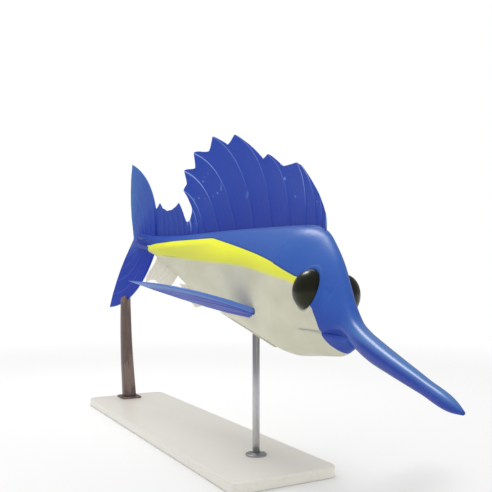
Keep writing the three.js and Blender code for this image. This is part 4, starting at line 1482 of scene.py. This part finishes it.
    def markings(self, points: Array) -> Array:
        """Signed distances, in metres: below the band's top, above its foot, below the cream's edge."""
        s, _, w = np.moveaxis(points, -1, 0)
        return np.stack([self.band_top(s) - w, w - self.band_low(s), self.cream_top(s) - w], -1) * MM

    def zones(self, points: Array, mouth: Array, gill_shade: Array) -> Array:
        """The distance ahead of the tail's blue, the ring of painted shade round each eye, and the
        lines of painted shade in the mouth and along the gills.

        Args:
            points: Points of the straight fish.
            mouth: Signed distance above the mouth line.
            gill_shade: The painted shade line along the gill openings, 1 at its middle.

        Returns:
            The three numbers at each point.
        """
        s, _, w = np.moveaxis(points, -1, 0)
        tail = (s - self.tail_edge - self.tail_lean * w) * MM
        # Rings of painted shade round the eyes.
        eye_shade_rings = sum(bell(self.eye.level(points, self.seats[side], side), *self.eye_shade_ring) for side in Side)
        slit = window(s, (self.mouth_corner - 6, self.mouth_corner + 8), self.mouth_end)
        return np.stack([tail, eye_shade_rings, bell(mouth, 0, self.slit_shade_width) * slit + gill_shade], -1)

    def build(self, finish: SkinFinish) -> None:
        """Raises the finer forms on the plain body, poses it and dresses it.

        Args:
            finish: The skin's finish.
        """
        plain, ring, folded, mouth = self.shape()
        forms = (
            self.mouth_form(plain, mouth) + self.gill_form(ring, folded) + self.socket_form(plain)
            + self.nostril_form(plain) + self.keel_form(plain) + self.fin_bed_form(plain, folded)
        )
        # A line of painted shade along each gill opening.
        gill_shade = bell(ring - self.gill_opening, *self.gill_shade_line) * self.gill_reach(folded)
        points = plain + self.outward(plain) * forms[..., None]
        skin = build_tube("fish_skin", Grid(SPINE.place(*np.moveaxis(points, -1, 0)), {
            "fish": points * MM,
            "marks": self.markings(plain),
            "zones": self.zones(plain, mouth, gill_shade),
        }))
        dress(skin, finish.build(), "body_blue", "head", "lower_jaw", "bill", "gill_cover_left",
              "gill_cover_right", "trunk_front", "trunk_rear", "tail_stalk")

    def build_eyes(self, finish: EyeFinish) -> None:
        """Sets the two glass eyes: balls flattened along their axis, turned out of the head.

        A ball's point is the axis times the bulge times the cosine of the polar angle, and the two
        directions across it times the radius times the sine.

        Args:
            finish: The eyes' finish.
        """
        material = finish.build()
        polar = np.linspace(0, np.pi, self.eye.rings)[1:-1, None]
        turn = circle(self.eye.sides)
        for side in Side:
            axis = self.eye.axis(side)
            across = unit(np.cross(axis, (0, 0, 1)))
            third = np.cross(axis, across)
            middle = self.seats[side] - axis * self.eye.depth
            ring = (np.cos(turn)[..., None] * across + np.sin(turn)[..., None] * third)
            points = (middle + axis * (self.eye.bulge * np.cos(polar))[..., None]
                      + ring * (self.eye.radius * np.sin(polar))[..., None])
            out = np.broadcast_to(np.sin(polar), points.shape[:2])
            front = np.where(np.cos(polar) > 0, out, 2 - out)
            angle = np.broadcast_to(turn / (2 * np.pi), points.shape[:2])
            marks = {"eye": np.stack([front, angle, front * 0], -1)}
            grid = Grid(SPINE.place(*np.moveaxis(points, -1, 0)), marks)
            dress(build_tube(f"glass_eye_{side.word}", grid), material, "eye", f"eye_{side.word}")


@dataclass(frozen=True)
class Fin:
    """A rayed fin in a plane of its own.

    Each ray is (root, tip, notch, bow): the notch is the membrane's end just behind the tip, and the
    bow is the ray's curve as a share of its length. Between two rays the edge runs from the notch to
    the next tip, hollow at first and then full, but for the first even gaps, where it is straight.
    The thickness over a strong ray and of the web are given at the root and at the edge.
    """

    name: str
    rays: tuple[tuple, ...]
    ray: Span
    web: Span
    lead: int = 1
    fine: int = 3
    columns: int = 30
    rows: int = 48
    scallop: float = 0.035
    even: int = 0
    tip_round: float = 4.0
    billow: float = 2.5
    ridge_width: float = 3.2
    edge_width: float = 5.0
    # Share of the columns' spacing that gathers at the rays, and power by which the rows gather.
    gather: float = 0.55
    row_gather: float = 1.25
    # Share of a gap in which the edge drops from the tip to the notch.
    notch: float = 0.075
    # Width and height of the fine rays as shares of the strong ones', where they start, and how
    # much of the painted highlight lines they carry.
    fine_width: float = 0.7
    fine_height: float = 0.2
    fine_start: Span = (0.02, 0.2)
    fine_shine: float = 0.3

    def numbers(self) -> Array:
        """Ray numbers of the columns, gathered near each strong ray.

        A part of the spacing is even, and the rest follows a cosine from one ray to the next.

        Returns:
            The numbers, rising from 0.
        """
        t = np.arange(self.columns) / self.columns
        t = mix(t, (1 - np.cos(np.pi * t)) / 2, self.gather)
        gaps = np.arange(len(self.rays) - 1)[:, None] + t
        return np.append(gaps.ravel(), len(self.rays) - 1)

    def lines(self, number: Array) -> tuple[Array, Array, Array]:
        """Root, edge point and bow of the line at each ray number.

        Args:
            number: Ray numbers; whole ones are the strong rays themselves.

        Returns:
            The roots, the points on the edge, and the bows.
        """
        roots, tips, notches = (np.array([ray[k] for ray in self.rays], float) for k in range(3))
        bows = np.array([ray[3] for ray in self.rays], float)
        i = np.minimum(number.astype(int), len(self.rays) - 2)
        t = (number - i)[:, None]
        root = mix(roots[i], roots[i + 1], t)
        span = tips[i + 1] - notches[i]
        edge = notches[i] + span * t
        out = unit(edge - root)
        wave = np.where(i < self.even, 0, self.scallop)[:, None]
        wave = wave * np.linalg.norm(span, axis=1, keepdims=True) * np.sin(2 * np.pi * t)
        edge = mix(tips[i], edge - out * wave, ease(t, 0, self.notch))
        return root, self.soften(edge), mix(bows[i], bows[i + 1], t[:, 0])

    def soften(self, edge: Array) -> Array:
        """Rounds the edge's corners: each point becomes the mean of those near it along the edge.

        The weights are a bell of the distance along the edge, and both ends of the edge stay put.

        Args:
            edge: Points along the edge.

        Returns:
            The rounded edge.
        """
        step = np.linalg.norm(np.diff(edge, axis=0), axis=1)
        run = np.concatenate([[0], np.cumsum(step)])
        weight = bell(run[:, None], run[None], self.tip_round) * np.gradient(run)[None]
        mean = weight @ edge / weight.sum(1, keepdims=True)
        inner = ease(np.minimum(run, run[-1] - run), 0, 2 * self.tip_round)
        return mix(edge, mean, inner[:, None])

    def sheet(self, number: Array, reach: Array) -> Array:
        """Points of the fin's middle plane: straight from root to edge, with the bow added across.

        Args:
            number: Ray numbers of the columns.
            reach: Shares of the way out of the rows.

        Returns:
            Points of two numbers, in rows and columns.
        """
        root, edge, bow = self.lines(number)
        along = (edge - root)[None]
        across = self.lead * np.stack([-along[..., 1], along[..., 0]], -1)
        t = reach[:, None, None]
        return root[None] + along * t + across * (4 * bow[None, :, None] * t * (1 - t))

    def thickness(self, number: Array, reach: Array, flat: Array) -> tuple[Array, Array]:
        """Half thickness of the fin, and how far each point is up a ray's ridge.

        The web thins from root to edge. Bells of one real width stand on it, high at the strong rays
        and low at the fine ones, and a quarter circle rounds all three free edges off.

        Args:
            number: Ray numbers of the columns.
            reach: Shares of the way out of the rows.
            flat: Points of the middle plane.

        Returns:
            The half thickness, and the height up a ridge between 0 and 1.
        """
        strong = self.sheet(np.arange(len(self.rays)), reach)
        gap = np.linalg.norm(np.diff(strong, axis=1), axis=-1)
        i = np.minimum(number.astype(int), len(self.rays) - 2)
        t = number - i
        wide = gap[:, i]
        away = np.minimum(t, 1 - t)[None] * wide
        r = reach[:, None]
        ridge = bell(away, 0, self.ridge_width * (2 - r))
        crest = bell(away, 0, self.ridge_width)
        parts = t * (self.fine + 1)
        nearest = np.round(parts)
        small = np.abs(parts - nearest)[None] * wide / (self.fine + 1)
        minor = bell(small, 0, self.ridge_width * self.fine_width)
        minor = minor * (nearest % (self.fine + 1) != 0)[None]
        rise = ridge + self.fine_height * minor * ease(r, *self.fine_start)
        thick = mix(mix(*self.web, r), mix(*self.ray, r), rise)
        rims = (flat[-1:], flat[:, :1], flat[:, -1:])
        inside = np.minimum.reduce([np.linalg.norm(flat - rim, axis=-1) for rim in rims])
        short = 1 - np.clip(inside / self.edge_width, 0, 1)
        rounded = np.sqrt(np.clip(1 - short**2, 0.01, 1))
        return thick * rounded / 2, crest + self.fine_shine * minor

    def build(self, material: Material, slot: str,
              place: Callable[[Array, Array, Array], Array], *nodes: str) -> None:
        """Makes the fin as a leaf with its rays raised on both faces.

        Args:
            material: Its finish.
            slot: The record's material slot.
            place: Takes the plane's two distances and the height off it to the frame.
            nodes: The solids that it stands for.
        """
        number = self.numbers()
        reach = 1 - (1 - np.linspace(0, 1, self.rows)) ** self.row_gather
        flat = self.sheet(number, reach)
        half, ridge = self.thickness(number, reach, flat)
        r = reach[:, None]
        swell = self.billow * np.sin(np.pi * (number % 1))[None] * 4 * r * (1 - r)
        x, y = flat[..., 0], flat[..., 1]
        marks = {
            "fish": np.stack([x, y, half], -1) * MM,
            "fin": np.stack(np.broadcast_arrays(number, r, ridge), -1),
        }
        piece = build_leaf(self.name, place(x, y, swell + half), place(x, y, swell - half), marks)
        dress(piece, material, slot, *nodes)


def rays_from(edge: Curve, rows: Sequence[tuple], bow: float, sunk: float) -> tuple[tuple, ...]:
    """Rays that grow out of the back or the belly.

    Args:
        edge: The body's edge that they grow from.
        rows: Root along the spine, tip and notch, and a fourth number for a bow of its own.
        bow: The other rays' bow.
        sunk: Distance from the edge up to the root, below zero for a root under the back.

    Returns:
        The rays as (root, tip, notch, bow).
    """
    return tuple(((s, float(edge(s)) + sunk), tip, notch, own[0] if own else bow)
                 for s, tip, notch, *own in rows)


@dataclass
class Fins:
    """All the fins of the fish, on the body that they grow from."""

    body: Body
    sail_rays: tuple[tuple, ...] = (
        (1448, (1421, 214), (1415, 217)), (1425, (1342, 259), (1336, 262), 0.075),
        (1390, (1168, 335), (1160, 334), 0.075), (1296, (1138, 341), (1052, 328)),
        (1185, (914, 371), (892, 347)), (1052, (651, 450), (622, 411)),
        (920, (478, 450), (480, 395)), (793, (341, 390), (385, 330)),
        (668, (284, 317), (330, 268)), (555, (306, 236), (350, 212)),
        (496, (402, 172), (409, 160)), (440, (405, 124), (397, 118)), (409, (384, 113), (384, 113)),
    )
    second_dorsal_rays: tuple[tuple, ...] = (
        (407.5, (382.5, 113), (379, 113), 0.1), (380, (285, 186), (268, 172)),
        (345, (240, 156), (232, 153)), (300, (205, 148), (196, 146)), (250, (164, 153), (157, 152)),
        (205, (117, 176), (104, 156)), (148, (92, 148), (92, 148), 0.03),
    )
    second_anal_rays: tuple[tuple, ...] = (
        (385, (272, -192), (256, -178)), (340, (226, -160), (219, -157)),
        (297, (192, -150), (183, -148)), (250, (150, -154), (144, -152)),
        (208, (104, -176), (103, -146)), (176, (122, -118), (122, -118)),
    )
    first_anal_rays: tuple[tuple, ...] = (
        (668, (560, -196), (548, -190)), (628, (516, -182), (508, -178)),
        (585, (474, -164), (467, -160)), (540, (434, -146), (428, -142)),
        (495, (398, -128), (398, -128)),
    )
    # Root, tip and bow of the upper lobe's rays, from the leading edge to the fork.
    tail_rays: tuple[tuple, ...] = (
        ((138, 31), (-198, 337), 0.145), ((92, 26), (-188, 272), 0.14), ((56, 22), (-170, 208), 0.12),
        ((28, 16), (-149, 150), 0.09), ((8, 11), (-123, 94), 0.06), ((-6, 6), (-93, 42), 0.03),
        ((-12, 0), (-70, 0), 0.0),
    )
    pectoral_rays: tuple[tuple, ...] = (
        ((0, 30), (424, -22), (408, -29), 0.07), ((0, 20), (348, -50), (338, -53), 0.06),
        ((0, 10), (260, -68), (251, -70), 0.05), ((0, -4), (174, -76), (166, -76), -0.03),
        ((0, -18), (108, -74), (102, -73), -0.02), ((0, -32), (56, -58), (56, -58), 0.0),
    )
    root_sunk: float = 12.0
    pectoral_at: float = 1210.0
    pectoral_angle: float = -32 * DEG
    pectoral_sunk: float = 16.0
    pectoral_out: float = 49.5 * DEG
    pectoral_rise: float = 3 * DEG
    pectoral_twist: float = 28 * DEG
    pectoral_droop: float = 14.0
    pelvic_from: float = 1285.0
    pelvic_to: float = 800.0
    pelvic_apart: float = 17.0
    pelvic_width: float = 9.0
    pelvic_thick: float = 7.0
    pelvic_proud: float = 2.5
    pelvic_taper: float = 0.93
    pelvic_start: Span = (-0.02, 0.06)
    pelvic_lobe: float = 0.1

    sail: FinFinish = FinFinish(
        "sail_lacquer", web=tint(40, 69, 166), root=tint(33, 57, 156), tip=tint(34, 68, 170),
        ray=tint(160, 190, 236), shine=0.8, spots=0.45)
    tail: FinFinish = FinFinish(
        "tail_lacquer", web=tint(58, 88, 168), root=tint(22, 50, 162), tip=tint(76, 122, 184),
        ray=tint(90, 130, 194), shade=0.9, ribs=4)
    # The pectoral's front paints a highlight streak along its leading ray.
    pectoral: FinFinish = FinFinish(
        "pectoral_lacquer", web=tint(36, 66, 172), root=tint(34, 58, 164), tip=tint(44, 78, 172),
        ray=tint(112, 152, 208), shine=0.2, front=0.55, ribs=4)
    second: FinFinish = FinFinish(
        "dorsal_lacquer", web=tint(42, 68, 160), root=tint(36, 60, 156), tip=tint(44, 74, 168),
        ray=tint(110, 140, 204), shine=0.3)
    pale: FinFinish = FinFinish(
        "pale_lacquer", web=tint(216, 212, 198), root=tint(204, 200, 184), tip=tint(222, 219, 208),
        ray=tint(236, 234, 226), ribs=4)

    @staticmethod
    def _upright(x: Array, y: Array, h: Array) -> Array:
        """The fish's middle plane: along, up, and off it to the left."""
        return SPINE.place(x, h, y)

    def build_middle(self) -> None:
        """Builds the sail, the second dorsal and the two anal fins."""
        back, belly, sunk = self.body.back, self.body.belly, self.root_sunk
        small = {"fine": 2, "columns": 20, "rows": 30, "billow": 1.0, "ridge_width": 2.4}
        sail = Fin("sail_fin", rays_from(back, self.sail_rays, 0.1, -sunk), ray=(7.5, 2.0),
                   web=(3.0, 1.3), lead=-1, columns=34, rows=58, even=2, tip_round=8.0)
        second = Fin("second_dorsal", rays_from(back, self.second_dorsal_rays, 0.08, -sunk),
                     ray=(6.0, 2.0), web=(3.0, 1.4), lead=-1, **small)
        second_anal = Fin("second_anal", rays_from(belly, self.second_anal_rays, 0.08, sunk),
                          ray=(6.0, 2.0), web=(3.0, 1.4), **small)
        first_anal = Fin("first_anal", rays_from(belly, self.first_anal_rays, 0.06, sunk),
                         ray=(7.0, 2.2), web=(4.0, 1.6), **small)
        pale = self.pale.build()
        sail.build(self.sail.build(), "sail_blue", self._upright, "sail")
        second.build(self.second.build(), "sail_blue", self._upright, "second_dorsal_fin")
        second_anal.build(pale, "fin_pale", self._upright, "second_anal_fin")
        first_anal.build(pale, "fin_pale", self._upright, "first_anal_fin")

    def build_tail(self) -> None:
        """Builds both tail lobes as one fin, the lower one mirrored below the fork."""
        upper = [(root, tip, tip, bow) for root, tip, bow in self.tail_rays]
        lower = [((root[0], -root[1]), (tip[0], -tip[1]), (tip[0], -tip[1]), -bow)
                 for root, tip, bow in reversed(self.tail_rays[:-1])]
        tail = Fin("tail_fin", tuple(upper + lower), ray=(19.0, 2.6), web=(15.0, 1.8), lead=-1,
                   columns=22, rows=46, scallop=0.0, billow=0.0, ridge_width=2.6)
        tail.build(self.tail.build(), "tail_blue", self._upright, "tail_lobe_upper", "tail_lobe_lower")

    def build_pectorals(self) -> None:
        """Builds the two long pectorals, each on axes of its own at its root.

        The blade's length runs back, out and a little up, its chord is twisted about that, and its
        tip droops with the square of the distance.
        """
        material = self.pectoral.build()
        v, w = self.body.section(np.array(self.pectoral_at), np.array(self.pectoral_angle))
        ahead, left, up = SPINE.axes(self.pectoral_at)
        out, rise, twist = self.pectoral_out, self.pectoral_rise, self.pectoral_twist
        length = self.pectoral_rays[0][1][0]
        rays = tuple(((r[0][0] - self.pectoral_sunk, r[0][1]), *r[1:]) for r in self.pectoral_rays)
        for side in Side:
            root = SPINE.place(self.pectoral_at, side.value * v, w)
            aside = left * side.value
            level = -ahead * math.cos(out) + aside * math.sin(out)
            along = level * math.cos(rise) + up * math.sin(rise)
            front = ahead * math.sin(out) + aside * math.cos(out)
            normal = unit(np.cross(along, front))
            normal *= np.sign(normal @ up)
            chord = unit(front * math.cos(twist) + normal * math.sin(twist))
            face = unit(np.cross(along, chord))

            def place(x: Array, y: Array, h: Array) -> Array:
                """Takes the blade's length, chord and height to the frame."""
                droop = -self.pectoral_droop * (np.maximum(x, 0) / length) ** 2
                return root + MM * (along * x[..., None] + chord * y[..., None]
                                    + normal * droop[..., None] + face * h[..., None])

            fin = Fin(f"pectoral_{side.word}", rays, ray=(15.0, 2.2), web=(11.0, 1.5), fine=2,
                      columns=18, rows=56, scallop=0.0, billow=0.0, ridge_width=2.2)
            fin.build(material, "sail_blue", place, f"pectoral_fin_{side.word}")

    def build_pelvics(self) -> None:
        """Builds the two thread-like pelvic fins: tapering tubes of three fused rays.

        The section is an ellipse whose radius is drawn in by a low wave of three lobes. The ray
        number that the finish reads runs round it.
        """
        material = self.pale.build()
        t = np.linspace(0, 1, 90)[:, None]
        turn = circle(24)
        s = mix(self.pelvic_from, self.pelvic_to, t)
        share = self.pelvic_apart / self.body.side(s)
        power = self.body.trunk_round
        skin = self.body.belly(s) * (1 - share**power) ** (1 / power)
        taper = np.sqrt(1 - self.pelvic_taper * t) * ease(t, *self.pelvic_start)
        lobes = 1 - self.pelvic_lobe * (1 + np.cos(3 * turn)) / 2
        for side in Side:
            v = side.value * self.pelvic_apart + self.pelvic_width / 2 * taper * lobes * np.cos(turn)
            w = skin - self.pelvic_proud + self.pelvic_thick / 2 * taper * lobes * np.sin(turn)
            along = np.broadcast_to(s, v.shape)
            marks = {
                "fish": np.stack([along, v, w], -1) * MM,
                "fin": np.stack(np.broadcast_arrays(turn / 6, t, v * 0), -1),
            }
            piece = build_tube(f"pelvic_{side.word}", Grid(SPINE.place(along, v, w), marks))
            dress(piece, material, "fin_pale", f"pelvic_fin_{side.word}")


@dataclass(frozen=True)
class Screw:
    """A domed screw head with a slot."""

    radius: float = 0.0034
    height: float = 0.0018
    doming: float = 0.75
    skirt: float = 0.0006
    slot_width: float = 0.00045
    slot_depth: float = 0.0008

    def build(self, name: str, seat: Array, turn: float, material: Material) -> None:
        """Builds a cap that falls with the square of the radius, sunk along a narrow line.

        Args:
            name: Name of the piece.
            seat: Middle of the head's underside.
            turn: Direction of the slot.
            material: Its finish.
        """
        share = np.linspace(0.06, 1, 14)[:, None]
        angle = circle(48)
        x, y = self.radius * share * np.cos(angle), self.radius * share * np.sin(angle)
        off = np.abs(x * math.sin(turn) - y * math.cos(turn))
        slot = self.slot_depth * (1 - ease(off, self.slot_width, self.slot_width * 1.6))
        dome = self.height * (1 - self.doming * share**2) - slot
        skirt = np.stack([x[-1:], y[-1:], np.full_like(x[-1:], -self.skirt)], -1)
        points = np.concatenate([np.stack([x, y, dome], -1), skirt]) + seat
        dress(build_tube(name, Grid(points)), material, "stand_steel")


@dataclass
class Stand:
    """The display stand: a lacquered base, a steel rod under the belly and a wooden rod at the tail."""

    body: Body
    base_corner: float = 0.036
    base_fillet: float = 0.0045
    rod_radius: float = 0.011
    rod_at: float = 1060.0
    rod_sunk: float = 0.012
    rod_chamfers: Span = (0.001, 0.002)
    # Radius and height of the flange's outline, from the edge of its foot up to its neck.
    flange: tuple[Span, ...] = (
        (0.0316, 0.0), (0.032, 0.0005), (0.032, 0.0032), (0.0312, 0.0042), (0.0262, 0.0052),
        (0.0190, 0.0060), (0.0172, 0.0068), (0.0166, 0.0079),
    )
    flange_play: float = 0.0002
    flange_lip: float = 0.0004
    flange_top: Span = (0.0074, 0.008)
    screw: Screw = Screw()
    screws: int = 3
    screw_circle: float = 0.0245
    screw_seat: float = 0.0052
    rear_at: float = -52.0
    rear_below: float = -292.0
    # Width, and then depth, of the rear rod at its top and at its foot.
    rear_width: Span = (0.040, 0.060)
    rear_depth: Span = (0.040, 0.056)
    rear_bow: float = -0.013
    rear_grip: float = 0.034
    rear_lean: Span = (0.006, 0.020)
    rear_square: float = 0.6
    rear_rounded: float = 0.985
    plate_corner: float = 0.012
    plate_fillet: float = 0.0018
    gap: float = 0.0003
    corner_points: int = 13
    fillet_points: int = 8
    least_radius: float = 0.0005
    # Inner rings of a slab, as shares of its half width.
    slab_rings: Span = (0.98, 0.5)

    def __post_init__(self) -> None:
        """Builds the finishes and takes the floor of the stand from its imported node."""
        self.lacquer = LacquerFinish().build()
        self.steel = SteelFinish().build()
        self.wood = WoodFinish().build()
        self.floor_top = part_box("stand_base")[1].z

    def slab(self, low: Array, high: Array, corner: float, fillet: float) -> Grid:
        """A plate with round corners and filleted edges.

        A rounded rectangle, its corners quarter circles, is drawn in step by step while the height
        follows a quarter circle at the bottom edge and at the top edge, and then runs to the middle.

        Args:
            low: Lowest corner of the plate's box.
            high: Highest corner.
            corner: Radius of the corners seen from above.
            fillet: Radius of the edges.

        Returns:
            Rings from the middle of the underside to the middle of the top.
        """
        quarter = np.linspace(0, 90, self.corner_points) * DEG
        bend = np.linspace(0, 90, self.fillet_points) * DEG
        rise = fillet * (1 - np.cos(bend))
        draw = fillet * (1 - np.sin(bend))
        half = (high - low)[:2] / 2
        tall = high[2] - low[2]
        inner = half.min() * np.array(self.slab_rings)
        inset = np.concatenate([inner, draw, draw[::-1], inner[::-1]])
        z = np.concatenate([[0, 0], rise, tall - rise[::-1], [tall, tall]])
        radius = np.maximum(corner - inset, self.least_radius)[:, None]
        middles = half[None] - inset[:, None] - radius
        rings = []
        for turn, (right, front) in enumerate(((1, 1), (-1, 1), (-1, -1), (1, -1))):
            angle = quarter + turn * 90 * DEG
            x = right * middles[:, :1] + radius * np.cos(angle)[None]
            y = front * middles[:, 1:] + radius * np.sin(angle)[None]
            rings.append(np.stack([x, y, np.broadcast_to(z[:, None], x.shape)], -1))
        points = np.concatenate(rings, axis=1)
        middle = (low + high) / 2
        points = points + np.array([middle[0], middle[1], low[2]])
        edge = np.broadcast_to(bell(inset, 0.0, fillet * 1.2)[:, None], points.shape[:2])
        return Grid(points, {"wear": np.stack([edge, edge * 0, edge * 0], -1)})

    def build_base(self) -> None:
        """Builds the base plate inside its node's box."""
        low, high = (np.array(corner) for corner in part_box("stand_base"))
        base = build_tube("stand_board", self.slab(low, high, self.base_corner, self.base_fillet))
        dress(base, self.lacquer, "stand_white", "stand_base")

    @staticmethod
    def turned(profile: Sequence[Span], foot: Array, sides: int) -> Grid:
        """A lathe shape: each profile point swung round the upright axis.

        Args:
            profile: Radius and height of each point.
            foot: Where the axis meets the foot.
            sides: Points in a ring.

        Returns:
            The rings.
        """
        angle = circle(sides)
        radius, height = (np.array(column)[:, None] for column in zip(*profile))
        x, y, z = np.broadcast_arrays(radius * np.cos(angle), radius * np.sin(angle), height)
        return Grid(np.stack([x, y, z], -1) + foot)

    def build_front(self) -> None:
        """Builds the steel rod, its flange and the screws that hold it down.

        The flange's outline closes on itself round the rod.
        """
        top = SPINE.place(self.rod_at, 0.0, self.body.belly(self.rod_at))
        foot = np.array([top[0], top[1], self.floor_top + self.gap])
        tall = top[2] + self.rod_sunk - foot[2]
        r = self.rod_radius
        low, high = self.rod_chamfers
        profile = ((low, 0), (r - low, 0), (r, low), (r, tall - high), (r - high, tall), (low, tall))
        rod = build_tube("stand_post", self.turned(profile, foot, 48))
        dress(rod, self.steel, "stand_steel", "stand_rod_front")

        bore = r + self.flange_play
        inner, outer = self.flange_top
        ring = self.turned(
            ((bore, 0), *self.flange, (bore + self.flange_lip, outer), (bore, inner)), foot, 72)
        rows, columns = ring.points.shape[:2]
        closing = quads_between(2, columns, True)
        closing = np.where(closing < columns, closing + (rows - 1) * columns, closing - columns)
        quads = np.concatenate([quads_between(rows, columns, True), closing])
        flange = build_piece("stand_flange", ring.points, quads)
        dress(flange, self.steel, "stand_steel", "stand_flange_front")

        for k in range(self.screws):
            angle = 90 * DEG + 360 * DEG * k / self.screws
            seat = foot + np.array([math.cos(angle) * self.screw_circle,
                                    math.sin(angle) * self.screw_circle, self.screw_seat])
            self.screw.build(f"stand_screw_{k + 1}", seat, angle + 25 * DEG, self.steel)

    def build_rear(self) -> None:
        """Builds the wooden rod and the plate at its foot.

        The rod's section is a superellipse that narrows upwards while its middle bows and leans.
        """
        grip = SPINE.place(self.rear_at, 0.0, self.rear_below)
        low, high = (np.array(corner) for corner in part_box("stand_plate_rear"))
        foot, top = high[2] + self.gap, grip[2] + self.rear_grip
        t = np.linspace(0, 1, 60)[:, None]
        angle = circle(48)
        past = np.maximum((t - self.rear_rounded) / (1 - self.rear_rounded), 0)
        soft = np.sqrt(np.clip(1 - past**2, 0.05, 1)) / 2
        wide, deep = (mix(foot_size, top_size, t) * soft
                      for top_size, foot_size in (self.rear_width, self.rear_depth))
        course_x = grip[0] + self.rear_bow * np.sin(np.pi * t) + self.rear_lean[0] * (1 - t)
        course_y = grip[1] + self.rear_lean[1] * (1 - t)
        x = course_x + wide * signed_power(np.cos(angle), self.rear_square)
        y = course_y + deep * signed_power(np.sin(angle), self.rear_square)
        points = np.stack(np.broadcast_arrays(x, y, mix(foot, top, t)), -1)
        rod = build_tube("stand_upright", Grid(points))
        dress(rod, self.wood, "stand_brown", "stand_rod_rear")
        plate = build_tube("stand_foot", self.slab(low, high, self.plate_corner, self.plate_fillet))
        dress(plate, self.wood, "stand_brown", "stand_plate_rear")


@dataclass
class Studio:
    """A pale floor, soft lights and the camera at the picture's angle."""

    picture: int = 492
    focal: float = 642.6
    camera_from_fish: Triple = (1937.8, -1005.4, -57.8)
    heading: float = 151.32 * DEG
    rise: float = 3.02 * DEG
    air: Colour = (1.0, 1.0, 1.0)
    air_reflected: float = 0.32
    floor: Colour = (0.86, 0.86, 0.855)
    floor_fade: Fade = Fade(1.5, 4.2)
    floor_rings: tuple[float, ...] = (0.05, 1, 2, 4, 6, 9, 14, 30, 60)
    sensor: float = 36.0
    sight: float = 200.0
    key_at: Triple = (-1.6, -0.05, 2.85)
    key_aim: Triple = (0.5, -0.12, 0.6)
    key_size: Span = (0.7, 0.7)
    key_watts: float = 28.0

    def build_camera(self) -> None:
        """Places the camera: its lens gives the picture's focal length over its sensor."""
        data = bpy.data.cameras.new("camera")
        data.sensor_width = self.sensor
        data.lens = self.sensor * self.focal / self.picture
        data.clip_end = self.sight
        camera = hang("camera", data)
        camera.location = (np.array(SPINE.stands_at) + self.camera_from_fish) * MM
        camera.rotation_euler = (90 * DEG + self.rise, 0, self.heading - 90 * DEG)
        bpy.context.scene.camera = camera

    def build_air(self) -> None:
        """Lights everything evenly from a plain white surrounding, dimmer in what gloss reflects."""
        world = bpy.data.worlds.new("studio")
        bpy.context.scene.world = world
        world.use_nodes = True
        tree = world.node_tree
        background = tree.nodes["Background"]
        background.inputs["Color"].default_value = (*self.air, 1)
        rays = tree.nodes.new("ShaderNodeLightPath")
        dim = tree.nodes.new("ShaderNodeMapRange")
        dim.inputs["To Min"].default_value = 1.0
        dim.inputs["To Max"].default_value = self.air_reflected
        tree.links.new(rays.outputs["Is Glossy Ray"], dim.inputs["Value"])
        tree.links.new(dim.outputs["Result"], background.inputs["Strength"])

    def build_floor(self) -> None:
        """Lays a round floor whose far part fades into the surrounding."""
        angle = circle(128)
        radius = np.array(self.floor_rings)[:, None]
        points = np.stack([radius * np.cos(angle), radius * np.sin(angle), angle * radius * 0], -1)
        rows, columns = points.shape[:2]
        middle = np.zeros((1, 3))
        after = (np.arange(columns) + 1) % columns
        fan = np.stack([np.full(columns, rows * columns), np.arange(columns), after], -1)
        floor = build_piece("floor", np.concatenate([points.reshape(-1, 3), middle]),
                            quads_between(rows, columns, True)[:, ::-1], fan, flat=True)
        paint = Paint("floor_paint")
        away = paint.node("ShaderNodeVectorMath", {"operation": "LENGTH"}, {0: paint.place()})
        far = Value(paint, away.outputs["Value"]).rise(self.floor_fade)
        paint.finish(Base_Color=self.floor, Roughness=0.75, Specular_IOR_Level=0.2)
        glow = paint.node("ShaderNodeEmission", inputs={"Color": self.air, "Strength": 1.0})
        both = paint.node("ShaderNodeMixShader", inputs={
            0: far, 1: paint.shader.outputs[0], 2: glow.outputs[0]})
        paint.tree.links.new(both.outputs[0], paint.tree.nodes["Material Output"].inputs["Surface"])
        floor.data.materials.append(paint.material)

    def build_key(self) -> None:
        """Hangs one soft rectangular light over the fish's left, facing its middle."""
        data = bpy.data.lights.new("key", "AREA")
        data.shape = "RECTANGLE"
        data.size, data.size_y = self.key_size
        data.energy = self.key_watts
        light = hang("key", data)
        light.location = self.key_at
        away = Vector(self.key_at) - Vector(self.key_aim)
        light.rotation_euler = away.to_track_quat("Z", "Y").to_euler()

    def build(self) -> None:
        """Builds the camera, surrounding, floor and light, and shows the colours as painted."""
        bpy.context.scene.view_settings.view_transform = "Standard"
        self.build_camera()
        self.build_air()
        self.build_floor()
        self.build_key()


def main() -> None:
    """Builds the fish, its stand and the studio in order."""
    logging.basicConfig(level=logging.INFO, format="%(name)s %(message)s")
    Studio().build()
    body = Body()
    body.build(SkinFinish())
    body.build_eyes(EyeFinish())
    fins = Fins(body)
    fins.build_middle()
    fins.build_tail()
    fins.build_pectorals()
    fins.build_pelvics()
    stand = Stand(body)
    stand.build_base()
    stand.build_front()
    stand.build_rear()


if __name__ == "__main__":
    main()
